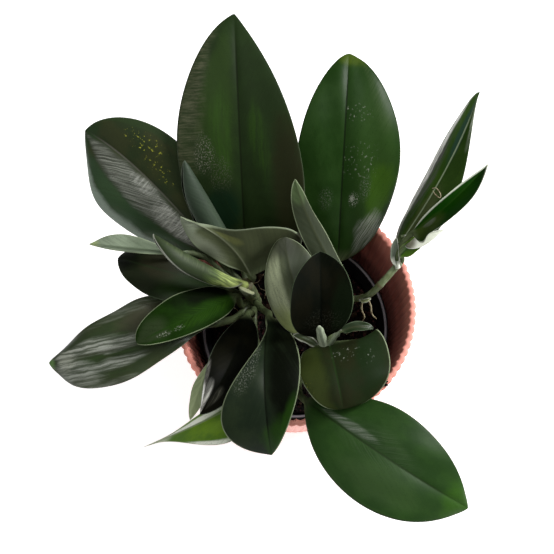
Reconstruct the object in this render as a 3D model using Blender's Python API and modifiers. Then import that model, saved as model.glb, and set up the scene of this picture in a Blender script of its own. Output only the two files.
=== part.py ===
"""Potted scindapsus.

A vining foliage plant with broad, dark, pointed leaves. It grows in soil in a thin black nursery pot, which
stands inside a coral outer pot with a finely fluted wall. The origin is the middle of the outer pot's
underside, +Z is up and +Y is the back. Every leaf is one loft: a round petiole that flattens into a blade.
Lengths below are in millimetres and angles in degrees.
"""

from dataclasses import dataclass
import math

import bmesh
import bpy
import numpy as np
from mathutils import Vector

MM = 0.001
GAP = 0.3
MERGE = 0.00005

# Outer pot: a cone with a corrugated wall, the same thickness all round.
OUTER_HEIGHT = 130.0
OUTER_RIM_RADIUS = 72.0
OUTER_BASE_RADIUS = 56.0
OUTER_WALL = 3.8
OUTER_FLOOR = 5.0
FLUTES = 90
STEPS_PER_FLUTE = 2
FLUTE_DEPTH = 0.9
FLUTE_FADE = 3.0
OUTER_EDGE_ROUND = 1.0

# Nursery pot: thin plastic with a rolled rim and drain holes.
NURSERY_Y = -4.0
NURSERY_Z = OUTER_FLOOR + GAP
NURSERY_TOP = 98.0
NURSERY_RIM_RADIUS = 58.5
NURSERY_TOP_RADIUS = 57.0
NURSERY_BASE_RADIUS = 43.0
NURSERY_WALL = 1.4
NURSERY_RIM_DROP = 4.0
NURSERY_STEPS = 64
DRAIN_HOLES = 8
DRAIN_RADIUS = 4.0
DRAIN_RING = 28.0

SOIL_TOP = 85.0

# Leaves.
RING_POINTS = 12
BLADE_SECTIONS = 14
PETIOLE_SECTIONS = 4
PETIOLE_RADIUS = 2.1
BLADE_HALF_THICK = 0.55
PETIOLE_REACH = 0.4
NECK = 0.12
THICK_FADE = 0.25
FOLD_START = 0.15
LOBE_FADE = 3

# Stems and aerial roots: the points that each one passes through, from the soil up.
STEM_FOOT = SOIL_TOP + 3 * GAP
STEM_SIDES = 2
STEM_SAMPLES = 4
STEMS = {
    "a": dict(radius=4.0, points=((-25, 13, STEM_FOOT), (-25, 13, 92), (-27, 13, 110), (-30, 12, 132))),
    "b": dict(
        radius=2.0,
        points=((33, 17, STEM_FOOT), (33, 17, 92), (36, 10, 110), (43, 6, 130), (51, 11, 142), (61, 22, 145)),
    ),
    "c": dict(radius=2.8, points=((17, 0, STEM_FOOT), (17, 0, 92), (16, -12, 112), (14, -26, 136))),
}
AERIAL_ROOTS = {
    "aerial_root_01": dict(radius=0.6, points=((43.5, 3.3, 129), (45, 1, 126), (46, -3, 122), (49, -5, 118))),
    "aerial_root_02": dict(radius=0.6, points=((40, 3.7, 125), (40, 0, 121), (42, -3, 116), (41, -5, 112))),
}


@dataclass
class Leaf:
    """One leaf: where it grows, the line of its midrib, and the shape of its two halves.

    `height` is the height on the stem where the petiole leaves it, and None grows it from the stem's end.
    The midrib is an arch through `base`, `mid` and `tip`. `face` points out of the upper side. The pairs are
    for the left and the right half, seen from above with the tip away: `widths` is the greatest half width,
    `shape` how slowly the half widens at the base and narrows at the tip, `fold` how far it is turned up at
    the midrib, `curl` how much more it turns up on the way to its margin, and `lobes` how far it reaches back
    past the blade's foot. `face_tip` is given where the leaf twists: the upper side then turns from `face` to
    it along the blade.
    """

    stem: str
    height: float | None
    base: tuple
    mid: tuple
    tip: tuple
    face: tuple
    widths: tuple
    shape_left: tuple = (0.6, 0.9)
    shape_right: tuple = (0.6, 0.9)
    fold: tuple = (0, 0)
    curl: tuple = (0, 0)
    lobes: tuple = (0, 0)
    face_tip: tuple = None
    petiole: float = PETIOLE_RADIUS
    colour: str = "dark"


LEAVES = {
    "leaf_01": Leaf("a", 116, (-30, 28, 128), (-32, 82, 190), (-35, 146, 212), (0, -0.6, 1), (35.5, 36),
                    (0.6, 0.75), (0.36, 0.93), (10, 10), (-15, -15)),
    "leaf_02": Leaf("c", 108, (26, 31, 122), (27, 78, 180), (30, 131, 195), (0.1, -0.5, 1), (28, 33),
                    (0.42, 0.72), (0.5, 0.64), (10, 10), (-20, -20), colour="mid"),
    "leaf_03": Leaf("a", 119, (-46, 30, 128), (-86, 64, 173), (-121, 90, 180), (-0.2, -0.4, 1), (34, 28),
                    (0.7, 0.8), (0.7, 0.82), (15, 15), (-40, -25)),
    "leaf_04": Leaf("a", 129, (-62, 25.5, 152), (-90, 24, 163), (-119, 28, 160), (0, 0.4, -1), (7.5, 2.6),
                    (2.2, 1.2), (0.6, 0.6), petiole=1.5, colour="young"),
    "leaf_05": Leaf("a", 113, (-41, 12, 125), (-73, 14, 150), (-104, 24, 147), (0, 0.1, 1), (18.5, 17),
                    (0.6, 0.7), (0.6, 0.45), (5, 0), (-5, -15)),
    "leaf_06": Leaf("a", None, (-31.5, 11, 137), (-56, 15.5, 167), (-80, 27, 178), (-0.4, -0.7, -0.55),
                    (13, 14), (0.9, 0.8), (0.9, 0.8), (5, 5), (150, 150), face_tip=(-0.4, -0.9, 0.4),
                    petiole=2.3, colour="young"),
    "leaf_07": Leaf("a", 107, (-37, 5, 131), (-61, -14, 154), (-89.5, -29.5, 156), (0, -0.2, 1), (9.5, 15),
                    (0.4, 0.6), (0.5, 0.5), (5, 5), (-10, -10), colour="mid"),
    "leaf_08": Leaf("a", 102, (-46, -10, 127), (-92, -27, 143), (-146, -33, 122), (-0.1, -0.2, 1), (20.5, 26),
                    (1.7, 0.75), (0.45, 0.85), (10, 10), (-25, -25), petiole=2.4),
    "leaf_09": Leaf("a", 130, (-27, 16, 140.5), (-41, 27, 169), (-64, 34, 187), (-0.3, 0.82, -0.5),
                    (36.5, 13.5), (0.3, 3.0), (0.9, 0.7), (-8, 0), (-5, 0), (-20, 0)),
    "leaf_10": Leaf("a", 124, (-36, 31, 144), (-47, 46, 167), (-62, 64, 195), (-1, -0.2, 0.7), (19, 19),
                    (0.7, 0.7), (0.7, 0.7), (5, 5), (160, 160), petiole=1.6, colour="young"),
    "leaf_11": Leaf("c", 126, (11.5, -16, 148), (-0.5, 2, 158), (-7, 29.5, 167), (0, 0.4, -1), (17, 18),
                    (0.7, 0.6), (0.3, 0.5), (0, 0), (20, 20)),
    "leaf_12": Leaf("c", None, (14, -25, 148), (13, -7, 172), (13, 19, 172), (0, -0.4, 1), (18.5, 18.5),
                    (0.6, 0.85), (0.8, 0.8), (10, 10), (20, 20)),
    "leaf_13": Leaf("c", 120, (31, 5, 140), (9, 36, 165), (-1, 56, 188), (-0.3, 0.4, -1), (6.5, 8),
                    (0.35, 0.8), (0.5, 0.7), (0, 0), (20, 20), petiole=1.6, colour="young"),
    "leaf_14": Leaf("c", 130, (18.5, -29, 149.5), (21, -47, 162), (25, -67, 159), (0, -0.3, 1), (31.5, 20),
                    (0.25, 0.36), (0.25, 0.4), (8, 0), (-20, -20), (28, 6)),
    "leaf_15": Leaf("c", 114, (5, -58, 136), (47, -93, 160), (93, -118, 140), (0, -0.1, 1), (26, 28.5),
                    (0.75, 0.8), (0.85, 0.85), (10, 10), (-20, -20), colour="mid"),
    "leaf_16": Leaf("a", 106, (-16, -8, 132), (-18, -52, 162), (-14, -89, 138), (0, -0.2, 1), (20, 25),
                    (0.6, 0.85), (2.6, 0.95), (15, 15), (-20, -20)),
    "leaf_17": Leaf("a", 97, (-29, -3, 119), (-38, -40, 147), (-54, -68, 147), (-0.1, -0.2, 1), (13, 12.5),
                    (0.7, 0.8), (0.7, 1.0), (10, 10), (-10, -10)),
    "leaf_18": Leaf("a", 91.5, (-33, -59, 136), (-56, -71, 133), (-89, -81, 112), (0, 0, 1), (18.5, 6),
                    (0.8, 2.2), (0.7, 2.0), (10, 20), (10, 20), petiole=1.6, colour="bright"),
    "leaf_19": Leaf("b", None, (59, 30, 151), (86.5, 71, 168), (106, 113, 183), (0.3, -0.3, 1), (12.5, 15),
                    (0.6, 0.6), (0.6, 1.7), (25, 25), (0, 0), petiole=2.0, colour="mid"),
    "leaf_20": Leaf("b", 144.7, (67, 34, 162.5), (87, 47, 177), (108, 68, 182), (-0.1, 0.3, 1), (5, 17),
                    (0.6, 0.9), (0.45, 0.9), (20, 10), (20, 50), petiole=1.6, colour="bright"),
    "leaf_21": Leaf("a", 88, (-48, -34, 134), (-55.5, -53, 136), (-61, -68, 128), (0.2, 0, -1), (5, 5),
                    (0.7, 0.9), (0.7, 0.9), (0, 0), (10, 10), petiole=1.3, colour="young"),
}

COLOURS = {
    "dark": (0.035, 0.075, 0.032),
    "mid": (0.055, 0.13, 0.045),
    "bright": (0.11, 0.24, 0.04),
    "young": (0.33, 0.42, 0.24),
    "stem": (0.25, 0.32, 0.17),
    "root": (0.62, 0.57, 0.42),
    "coral": (0.86, 0.44, 0.40),
    "black": (0.018, 0.018, 0.02),
    "soil": (0.03, 0.018, 0.014),
}


def clear_scene():
    for thing in list(bpy.data.objects):
        bpy.data.objects.remove(thing, do_unlink=True)


def new_collection(name):
    made = bpy.data.collections.new(name)
    bpy.context.scene.collection.children.link(made)
    return made


def material(name, colour, roughness):
    made = bpy.data.materials.new(name)
    made.use_nodes = True
    shader = made.node_tree.nodes["Principled BSDF"]
    shader.inputs["Base Color"].default_value = (*colour, 1.0)
    shader.inputs["Roughness"].default_value = roughness
    shader.inputs["Metallic"].default_value = 0.0
    return made


def add_object(name, data, collection, look=None):
    made = bpy.data.objects.new(name, data)
    if look is not None:
        data.materials.append(look)
    collection.objects.link(made)
    return made


def in_metres(point):
    return Vector(point) * MM


def turned(name, profile, steps, collection, look):
    """A solid of revolution: the profile runs from the axis up the inside and down the outside."""
    mesh = bpy.data.meshes.new(name)
    points = [(radius * MM, 0.0, height * MM) for radius, height in profile]
    edges = [(i, i + 1) for i in range(len(points) - 1)]
    mesh.from_pydata(points, edges, [])
    made = add_object(name, mesh, collection, look)
    screw = made.modifiers.new("Turn", "SCREW")
    screw.steps = steps
    screw.render_steps = steps
    screw.use_merge_vertices = True
    screw.merge_threshold = MERGE
    return made


def applied(made):
    """Replace an object's mesh with its evaluated one and drop its modifiers."""
    graph = bpy.context.evaluated_depsgraph_get()
    mesh = bpy.data.meshes.new_from_object(made.evaluated_get(graph))
    mesh.name = made.name
    made.modifiers.clear()
    made.data = mesh
    return made


def outer_radius(height):
    """Radius of the outer pot's outside, midway between the crests and the valleys of its flutes."""
    middle = OUTER_RIM_RADIUS - FLUTE_DEPTH / 2
    share = height / OUTER_HEIGHT
    return OUTER_BASE_RADIUS + (middle - OUTER_BASE_RADIUS) * share


def build_outer_pot(collection):
    """A turned cup, whose meridians then move in and out by turns to make the flutes."""
    lip = OUTER_EDGE_ROUND
    top = OUTER_HEIGHT
    profile = [
        (0.0, OUTER_FLOOR),
        (outer_radius(OUTER_FLOOR) - OUTER_WALL, OUTER_FLOOR),
        (outer_radius(top - lip) - OUTER_WALL, top - lip),
        (outer_radius(top) - OUTER_WALL + lip, top),
        (outer_radius(top) - lip, top),
        (outer_radius(top - lip), top - lip),
        (outer_radius(FLUTE_FADE), FLUTE_FADE),
        (outer_radius(0) - lip, 0.0),
        (0.0, 0.0),
    ]
    look = material("coral_plastic", COLOURS["coral"], 0.45)
    pot = applied(turned("outer_pot", profile, FLUTES * STEPS_PER_FLUTE, collection, look))
    floor_radius = (outer_radius(OUTER_FLOOR) - OUTER_WALL) * MM
    for vertex in pot.data.vertices:
        x, y, z = vertex.co
        radius = math.hypot(x, y)
        on_floor = radius < floor_radius + MERGE and z <= OUTER_FLOOR * MM + MERGE
        if on_floor or z < FLUTE_FADE * MM - MERGE:
            continue
        shift = FLUTE_DEPTH / 2 * MM * math.cos(FLUTES * math.atan2(y, x))
        vertex.co.x += x / radius * shift
        vertex.co.y += y / radius * shift
    return pot


def build_nursery_pot(collection, cutters):
    """A thin turned cup with a rolled rim, standing off-centre in the outer pot, with holes in its floor."""
    wall = NURSERY_WALL
    base = NURSERY_Z
    rim_under = NURSERY_TOP - NURSERY_RIM_DROP
    profile = [
        (0.0, base + wall),
        (NURSERY_BASE_RADIUS - wall, base + wall),
        (NURSERY_TOP_RADIUS - wall, NURSERY_TOP),
        (NURSERY_RIM_RADIUS, NURSERY_TOP),
        (NURSERY_RIM_RADIUS, rim_under),
        (NURSERY_TOP_RADIUS, rim_under),
        (NURSERY_BASE_RADIUS, base),
        (0.0, base),
    ]
    look = material("black_plastic", COLOURS["black"], 0.4)
    pot = applied(turned("nursery_pot", profile, NURSERY_STEPS, collection, look))
    for k in range(DRAIN_HOLES):
        angle = math.tau * k / DRAIN_HOLES
        centre = (DRAIN_RING * math.cos(angle), DRAIN_RING * math.sin(angle), base)
        mesh = bpy.data.meshes.new(f"drain_{k + 1}")
        shape = bmesh.new()
        bmesh.ops.create_cone(
            shape, cap_ends=True, segments=12, radius1=DRAIN_RADIUS * MM, radius2=DRAIN_RADIUS * MM,
            depth=4 * wall * MM,
        )
        shape.to_mesh(mesh)
        shape.free()
        cutter = add_object(f"drain_{k + 1}", mesh, cutters)
        cutter.location = in_metres(centre)
        cutter.parent = pot
        cutter.hide_render = True
        cutter.display_type = "WIRE"
        cut = pot.modifiers.new(f"Drain {k + 1}", "BOOLEAN")
        cut.operation = "DIFFERENCE"
        cut.object = cutter
    pot.location = in_metres((0, NURSERY_Y, 0))
    return pot


def nursery_inside(height):
    """Inner radius of the nursery pot's wall at a height."""
    floor = NURSERY_Z + NURSERY_WALL
    share = (height - floor) / (NURSERY_TOP - floor)
    low = NURSERY_BASE_RADIUS - NURSERY_WALL
    return low + (NURSERY_TOP_RADIUS - NURSERY_WALL - low) * share


def build_soil(collection):
    """The root ball: it fills the nursery pot up to the soil's surface."""
    bottom = NURSERY_Z + NURSERY_WALL + GAP
    profile = [
        (0.0, SOIL_TOP),
        (nursery_inside(SOIL_TOP) - 2 * GAP, SOIL_TOP),
        (nursery_inside(bottom) - 2 * GAP, bottom),
        (0.0, bottom),
    ]
    look = material("potting_soil", COLOURS["soil"], 0.95)
    soil = turned("soil", profile, NURSERY_STEPS // 2, collection, look)
    soil.location = in_metres((0, NURSERY_Y, 0))
    return soil


def smooth_path(points, samples):
    """Points along a smooth curve through the given ones (Catmull-Rom)."""
    knots = [np.array(p, float) for p in points]
    knots = [2 * knots[0] - knots[1]] + knots + [2 * knots[-1] - knots[-2]]
    path = []
    for a, b, c, d in zip(knots, knots[1:], knots[2:], knots[3:]):
        for step in range(samples):
            t = step / samples
            square = (2 * a - 5 * b + 4 * c - d) * t**2
            cube = (3 * b - a - 3 * c + d) * t**3
            path.append(0.5 * (2 * b + (c - a) * t + square + cube))
    path.append(knots[-2])
    return path


def build_tube(name, spec, samples, collection, look):
    """A round stem or root: a bevelled poly curve through its path."""
    path = smooth_path(spec["points"], samples)
    curve = bpy.data.curves.new(name, "CURVE")
    curve.dimensions = "3D"
    curve.bevel_depth = spec["radius"] * MM
    curve.bevel_resolution = STEM_SIDES
    curve.use_fill_caps = True
    spline = curve.splines.new("POLY")
    spline.points.add(len(path) - 1)
    for point, place in zip(spline.points, path):
        point.co = (*in_metres(place), 1.0)
    return add_object(name, curve, collection, look)


def unit(vectors):
    return vectors / np.linalg.norm(vectors, axis=-1, keepdims=True)


def petiole_root(leaf):
    """Where a petiole starts, just clear of its stem, and the direction in which it leaves."""
    stem = STEMS[leaf.stem]
    path = np.array(smooth_path(stem["points"], 12))
    if leaf.height is None:
        out = unit(path[-1] - path[-2])
        return path[-1] + out * GAP, out
    here = min(int(np.argmin(np.abs(path[:, 2] - leaf.height))), len(path) - 2)
    place = path[here]
    stem_way = unit(path[here + 1] - path[here])
    out = np.array(leaf.base, float) - place
    out = unit(out - out @ stem_way * stem_way)
    return place + out * (stem["radius"] + GAP), out


def half_profile(u, shape):
    """Share of the greatest half width: a power of the way from the base times one of the way to the tip."""
    rise, fall = shape
    peak = rise / (rise + fall)
    top = peak**rise * (1 - peak) ** fall
    return u**rise * (1 - u) ** fall / top


def bend(across, width, fold, curl):
    """Follow a half section out from the midrib: offsets sideways and upwards, and the angle there."""
    curl = np.where(np.abs(curl) < 1e-6, 1e-6, curl)
    angle = fold + curl * across
    sideways = width * (np.sin(angle) - np.sin(fold)) / curl
    upwards = width * (np.cos(fold) - np.cos(angle)) / curl
    return sideways, upwards, angle


def leaf_rings(leaf):
    """Every section of a leaf, as an array of rings of points, from the petiole's foot to the leaf's tip."""
    root, out = petiole_root(leaf)
    base, mid, tip = (np.array(p, float) for p in (leaf.base, leaf.mid, leaf.tip))
    knee = 2 * mid - 0.5 * (base + tip)
    reach = np.linalg.norm(base - root) * PETIOLE_REACH
    leave = root + out * reach
    arrive = base - unit(knee - base) * reach

    t = np.linspace(0, 1, PETIOLE_SECTIONS, endpoint=False)[:, None]
    petiole = (1 - t) ** 3 * root + 3 * (1 - t) ** 2 * t * leave + 3 * (1 - t) * t**2 * arrive + t**3 * base
    petiole_way = (1 - t) ** 2 * (leave - root) + 2 * (1 - t) * t * (arrive - leave) + t**2 * (base - arrive)
    even = np.linspace(0, 1, BLADE_SECTIONS + 1)
    u = 0.75 * (1 - np.cos(even * math.pi)) / 2 + 0.25 * even
    s = u[:, None]
    blade = (1 - s) ** 2 * base + 2 * (1 - s) * s * knee + s**2 * tip
    blade_way = (1 - s) * (knee - base) + s * (tip - knee)

    centre = np.vstack([petiole, blade])
    along = unit(np.vstack([petiole_way, blade_way]))
    u = np.concatenate([np.zeros(PETIOLE_SECTIONS), u])
    face_foot = unit(np.array(leaf.face, float))
    face_tip = unit(np.array(leaf.face_tip or leaf.face, float))
    face = face_foot * (1 - u[:, None]) + face_tip * u[:, None]
    up = unit(face - np.sum(along * face, axis=1, keepdims=True) * along)
    side = np.cross(along, up)

    neck = leaf.petiole * np.clip(1 - u / NECK, 0, 1)
    widths = [
        np.maximum(size * half_profile(u, shape), neck)
        for size, shape in zip(leaf.widths, (leaf.shape_left, leaf.shape_right))
    ]
    fade = np.clip(1 - u / THICK_FADE, 0, 1) ** 2
    thick = BLADE_HALF_THICK + (leaf.petiole - BLADE_HALF_THICK) * fade
    bending = np.clip(u / FOLD_START, 0, 1)[:, None]

    turn = math.tau * np.arange(RING_POINTS) / RING_POINTS
    across = -np.cos(turn)
    across[np.abs(across) < 1e-9] = 0.0
    right = across >= 0
    width = np.where(right, widths[1][:, None], widths[0][:, None])
    fold = np.radians(np.where(right, leaf.fold[1], leaf.fold[0])) * bending
    curl = np.radians(np.where(right, leaf.curl[1], leaf.curl[0])) * bending
    sideways, upwards, angle = bend(np.abs(across), width, fold, curl)
    lift = np.sin(turn) * thick[:, None]
    back = np.where(right, leaf.lobes[1], leaf.lobes[0]) * across**2 * (1 - u[:, None]) ** LOBE_FADE * bending
    sign = np.sign(across)
    x = sign * sideways - sign * np.sin(angle) * lift
    y = upwards + np.where(sign == 0, 1.0, np.cos(angle)) * lift
    return (
        centre[:, None] + x[..., None] * side[:, None] + y[..., None] * up[:, None]
        - back[..., None] * along[:, None]
    )


def build_leaf(name, leaf, collection, look):
    """Skin the rings into one closed body, with a flat foot and a pointed tip."""
    rings = leaf_rings(leaf)
    body = rings[:-1]
    rows, ring = body.shape[:2]
    points = [in_metres(p) for p in body.reshape(-1, 3)]
    points.append(in_metres(leaf.tip))
    faces = [tuple(reversed(range(ring)))]
    for i in range(rows - 1):
        for j in range(ring):
            k = (j + 1) % ring
            faces.append((i * ring + j, i * ring + k, (i + 1) * ring + k, (i + 1) * ring + j))
    last = (rows - 1) * ring
    faces += [(last + j, last + (j + 1) % ring, rows * ring) for j in range(ring)]
    mesh = bpy.data.meshes.new(name)
    mesh.from_pydata(points, [], faces)
    mesh.shade_smooth()
    return add_object(name, mesh, collection, look)


def main():
    clear_scene()
    plant = new_collection("potted_scindapsus")
    cutters = new_collection("cutters")
    build_outer_pot(plant)
    build_nursery_pot(plant, cutters)
    build_soil(plant)
    stem_look = material("stem_green", COLOURS["stem"], 0.5)
    root_look = material("root_pale", COLOURS["root"], 0.7)
    for key, spec in STEMS.items():
        build_tube(f"stem_{key}", spec, STEM_SAMPLES, plant, stem_look)
    for name, spec in AERIAL_ROOTS.items():
        build_tube(name, spec, 2, plant, root_look)
    for name, leaf in LEAVES.items():
        build_leaf(name, leaf, plant, material(name, COLOURS[leaf.colour], 0.35))


main()
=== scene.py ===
"""Looks of the potted scindapsus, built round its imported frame.

The leaves, stems, pots and soil are fine surfaces worked out with numpy, each with its own procedural finish.
Places and sizes are in millimetres here, and a mesh is made in metres. +Z is up and +Y is the back.
"""

import math
from typing import NamedTuple

import bmesh
import bpy
import numpy as np
from mathutils import Matrix, Vector


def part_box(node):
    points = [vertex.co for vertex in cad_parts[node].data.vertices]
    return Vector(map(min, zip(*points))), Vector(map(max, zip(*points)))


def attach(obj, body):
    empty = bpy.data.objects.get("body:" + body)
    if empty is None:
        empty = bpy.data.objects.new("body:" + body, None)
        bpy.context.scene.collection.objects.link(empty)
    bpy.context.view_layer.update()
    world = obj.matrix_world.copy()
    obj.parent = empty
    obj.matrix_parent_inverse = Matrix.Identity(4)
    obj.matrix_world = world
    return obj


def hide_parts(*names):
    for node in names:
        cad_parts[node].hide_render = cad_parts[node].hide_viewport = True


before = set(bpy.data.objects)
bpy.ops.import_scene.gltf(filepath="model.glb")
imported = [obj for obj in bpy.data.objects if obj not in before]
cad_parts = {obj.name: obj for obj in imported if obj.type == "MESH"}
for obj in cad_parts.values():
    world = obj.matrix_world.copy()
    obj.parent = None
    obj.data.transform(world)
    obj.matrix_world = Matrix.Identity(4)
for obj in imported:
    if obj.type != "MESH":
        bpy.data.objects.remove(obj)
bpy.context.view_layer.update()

MM = 0.001
BODY = "root"


# ---------------------------------------------------------------- sizes that the frame gives


def node_box(node):
    """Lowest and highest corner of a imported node, in millimetres."""
    low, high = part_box(node)
    return np.array(low) / MM, np.array(high) / MM


OUTER_HIGH = node_box("outer_pot")[1]
NURSERY_LOW, NURSERY_HIGH = node_box("nursery_pot")
SOIL_LOW, SOIL_HIGH = node_box("soil")
SOIL_TOP = SOIL_HIGH[2]
NURSERY_CENTRE = (NURSERY_LOW + NURSERY_HIGH) / 2

# Outer pot: its wall and floor, the rounding of its foot and lip, and the fillet between wall and floor. Each
# CORE is the radius of the innermost ring, and each LONGEST_STEP the greatest distance between two rings.
OUTER_RIM = OUTER_HIGH[0]
OUTER_HEIGHT = OUTER_HIGH[2]
OUTER_FOOT = 56.0
OUTER_WALL = 3.8
OUTER_FLOOR = 5.0
OUTER_CORE = 20.0
OUTER_FOOT_INSET = 2.0
OUTER_FOOT_ROUND = 1.6
OUTER_LIP_ROUND = 1.5
OUTER_FILLET_HIGH = 2
OUTER_FILLET_WIDE = 1.5
OUTER_LONGEST_STEP = 7.0
# The painted shade on the pot's inside wall is full from this depth under the lip downwards.
INSIDE_SHADE_DEPTH = 24.0

# Flutes: a power below 1 makes the crests broader and the valleys sharper. They fade in above the foot.
FLUTES = 90
FLUTE_STEPS = 10
FLUTE_DEPTH = 0.9
FLUTE_POWER = 0.8
FLUTE_START = 0.5
FLUTE_FADE = 3.0
FLOOR_MARGIN = 0.5

# Nursery pot: its wall, its lip and the bead under it, and its drain holes. The lip's painted highlight is
# brightest at its inset.
NURSERY_RIM = NURSERY_HIGH[0]
NURSERY_FOOT = 43.0
NURSERY_WALL = 1.4
NURSERY_CORE = 8.0
NURSERY_SHOULDER = 1.5
NURSERY_FOOT_ROUND = 1.0
NURSERY_LIP_ROUND = 0.7
NURSERY_HIGHLIGHT_INSET = 1.7
NURSERY_BEAD = 4.0
BEAD_CHAMFER_WIDE = 0.3
BEAD_CHAMFER_HIGH = 0.4
NURSERY_STEPS = 192
NURSERY_LONGEST_STEP = 6.0
DRAIN_HOLES = 8
DRAIN_RADIUS = 4.0
DRAIN_RING = 28.0
DRAIN_SIDES = 24
DRAIN_DEPTH = 6 * NURSERY_WALL

# Soil: its ground is a sum of waves (length, height), all divided by GROUND_CALM, and it lies SOIL_SINK below
# the top that the frame gives.
SOIL_RIM = (SOIL_HIGH[0] - SOIL_LOW[0]) / 2
SOIL_CORE = 5.0
SOIL_EDGE = 3
SOIL_SINK = 0.8
SOIL_CIRCLES = 70
SOIL_STEPS = 220
GROUND_WAVES = ((38, 1.1), (21, 0.8), (12, 0.6), (7, 0.45), (4.3, 0.3), (2.6, 0.2))
WAVES_OF_A_LENGTH = 3
GROUND_CALM = 1.7
GROUND_SEED = 4

# Loose pieces on the soil. A grain is a ball of rings at these angles of latitude.
GRAIN_SIDES = 7
GRAIN_RINGS = (-50, -5, 45)
CRUMBS = 1500
BARK_CHIPS = 90
LIP_CRUMBS = 6
LIP_CRUMB_PLACE = (54, -48)
LIP_CRUMB_INSET = 2.2
ROOTLETS = 16
ROOTLET_RADIUS = 0.28
ROOTLET_MARGIN = 8.0
ROOTLET_STEPS = 4

# Leaves: the gap at the stem, the thickness, and the share of the blade over which neck, thickness and fold
# change. The lobes fade as a power of the way to the tip.
GAP = 0.3
PETIOLE_RADIUS = 2.1
BLADE_HALF_THICK = 0.4
PETIOLE_REACH = 0.4
BRACT_FOOT = 1.5
NECK = 0.13
THICK_FADE = 0.22
FOLD_START = 0.2
LOBE_FADE = 3

# Leaves: how fine the surface is. An ease of 0 spaces the points evenly, and 1 as a cosine does, with less
# room between them at both ends.
BLADE_SECTIONS = 130
PETIOLE_SECTIONS = 18
HALF_POINTS = 15
STATION_EASE = 0.6
SECTION_EASE = 0.65
LEAST_CURL = 1e-6

# Leaves: relief in millimetres, with its start and end as shares of the blade. WAVE_MISMATCH keeps the two
# margins from waving together.
RELIEF_START = 0.12
RELIEF_END = 0.06
GROOVE_DEPTH = 0.22
GROOVE_WIDTH = 1.3
KEEL_DEPTH = 0.5
KEEL_WIDTH = 1.0
VEIN_LEAN = 2.0
VEIN_SPACING = 6.5
VEIN_WANDER = 0.8
VEIN_WANDER_LENGTH = 9
WAVE_MISMATCH = 1.15
MARGIN_POWER = 2.5
SWELL_ALONG = 14
SWELL_ACROSS = 3.4

# Stems: at each node, given as a share of the length, the radius swells by NODE_SWELLING of itself.
STEM_FOOT = SOIL_TOP + 3 * GAP
STEM_SUNK = 3
NODE_LENGTH = 1.6
NODE_SWELLING = 0.16
PATH_SAMPLES = 12
STEM_SEED = 3.0
STEMS = {
    "stem_a": dict(
        radius=4.0,
        nodes=(0.25, 0.42, 0.6, 0.75, 0.88, 0.99),
        points=((-25, 13, STEM_FOOT), (-25, 13, 92), (-27, 13, 110), (-30, 12, 132)),
    ),
    "stem_b": dict(
        radius=2.0,
        nodes=(0.3, 0.55, 0.78, 0.98),
        points=((33, 17, STEM_FOOT), (33, 17, 92), (36, 10, 110), (43, 6, 130), (51, 11, 142), (61, 22, 145)),
    ),
    "stem_c": dict(
        radius=2.8,
        nodes=(0.35, 0.6, 0.8, 0.98),
        points=((17, 0, STEM_FOOT), (17, 0, 92), (16, -12, 112), (14, -26, 136)),
    ),
}
AERIAL_ROOTS = {
    "aerial_root_01": dict(radius=0.6, points=((43.5, 3.3, 129), (45, 1, 126), (46, -3, 122), (49, -5, 118))),
    "aerial_root_02": dict(radius=0.6, points=((40, 3.7, 125), (40, 0, 121), (42, -3, 116), (41, -5, 112))),
}
TENDRIL_RADIUS = 0.28
TENDRIL = (
    (75.5, 52.5, 183), (77.5, 52, 184.5), (79.5, 49, 184.5),
    (79.5, 46.5, 184), (77.5, 48, 183.5), (75.8, 51, 183),
)

# Studio: the floor and the lights are in metres, the camera is in millimetres, and its tilt is in degrees.
FLOOR_REACH = 4.0
FLOOR_GLOW = 0.75
SURROUND = 0.13
LIGHT_AIM = (0, 0, 0.12)
LIGHTS = {
    "key": dict(place=(1.05, 0.45, 1.0), size=0.5, power=26, glossy=True),
    "fill_top": dict(place=(0, 0.1, 2.2), size=1.6, power=16, glossy=False),
    "fill_left": dict(place=(-1.6, -0.6, 1.3), size=1.4, power=8, glossy=False),
}
CAMERA_TILT = 18
CAMERA_DISTANCE = 560
CAMERA_TARGET = (-11.1, 17.8, OUTER_HEIGHT)
CAMERA_LENS = 60.6
CAMERA_SENSOR = 36

# ---------------------------------------------------------------- colours (linear)

INK = (0.002, 0.003, 0.0012)
NIGHT = (0.006, 0.009, 0.003)
UMBER = (0.016, 0.014, 0.006)
DEEP = (0.013, 0.025, 0.007)
MOSS = (0.034, 0.082, 0.013)
LIME = (0.12, 0.17, 0.014)
OLIVE = (0.030, 0.037, 0.013)
TEAL = (0.012, 0.028, 0.014)
TAUPE = (0.068, 0.070, 0.040)
SAGE = (0.075, 0.105, 0.058)
MIST = (0.125, 0.155, 0.105)
# A painted sheen: the grey of reflections on the wrinkled leaves.
SILVER_SHEEN = (0.17, 0.185, 0.145)
PALE = (0.24, 0.29, 0.17)
# A pale margin on some leaves and bracts, and a painted highlight in the patches of others.
FROST = (0.42, 0.44, 0.36)
CREAM = (0.52, 0.63, 0.25)

STEM_DARK = (0.10, 0.13, 0.05)
STEM_PALE = (0.20, 0.25, 0.13)
STEM_LINE = (0.30, 0.33, 0.22)
STEM_SCAR = (0.12, 0.09, 0.045)
ROOT_CREAM = (0.36, 0.32, 0.20)
ROOT_BROWN = (0.13, 0.09, 0.05)
CORAL_DEEP = (0.80, 0.300, 0.235)
CORAL_PALE = (0.86, 0.355, 0.285)
CORAL_DUST = (0.62, 0.42, 0.34)
# Painted shade for the pot's inside wall.
CORAL_SHADE = (0.18, 0.030, 0.028)
BLACK_DEEP = (0.004, 0.004, 0.0045)
BLACK_WORN = (0.009, 0.0085, 0.0095)
# Painted highlight along the nursery pot's lip.
LIP_HIGHLIGHT = (0.22, 0.20, 0.22)
SOIL_TRACE = (0.035, 0.022, 0.018)
FLOOR_DULL = (0.90, 0.90, 0.90)
FLOOR_PALE = (0.93, 0.93, 0.93)

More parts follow.
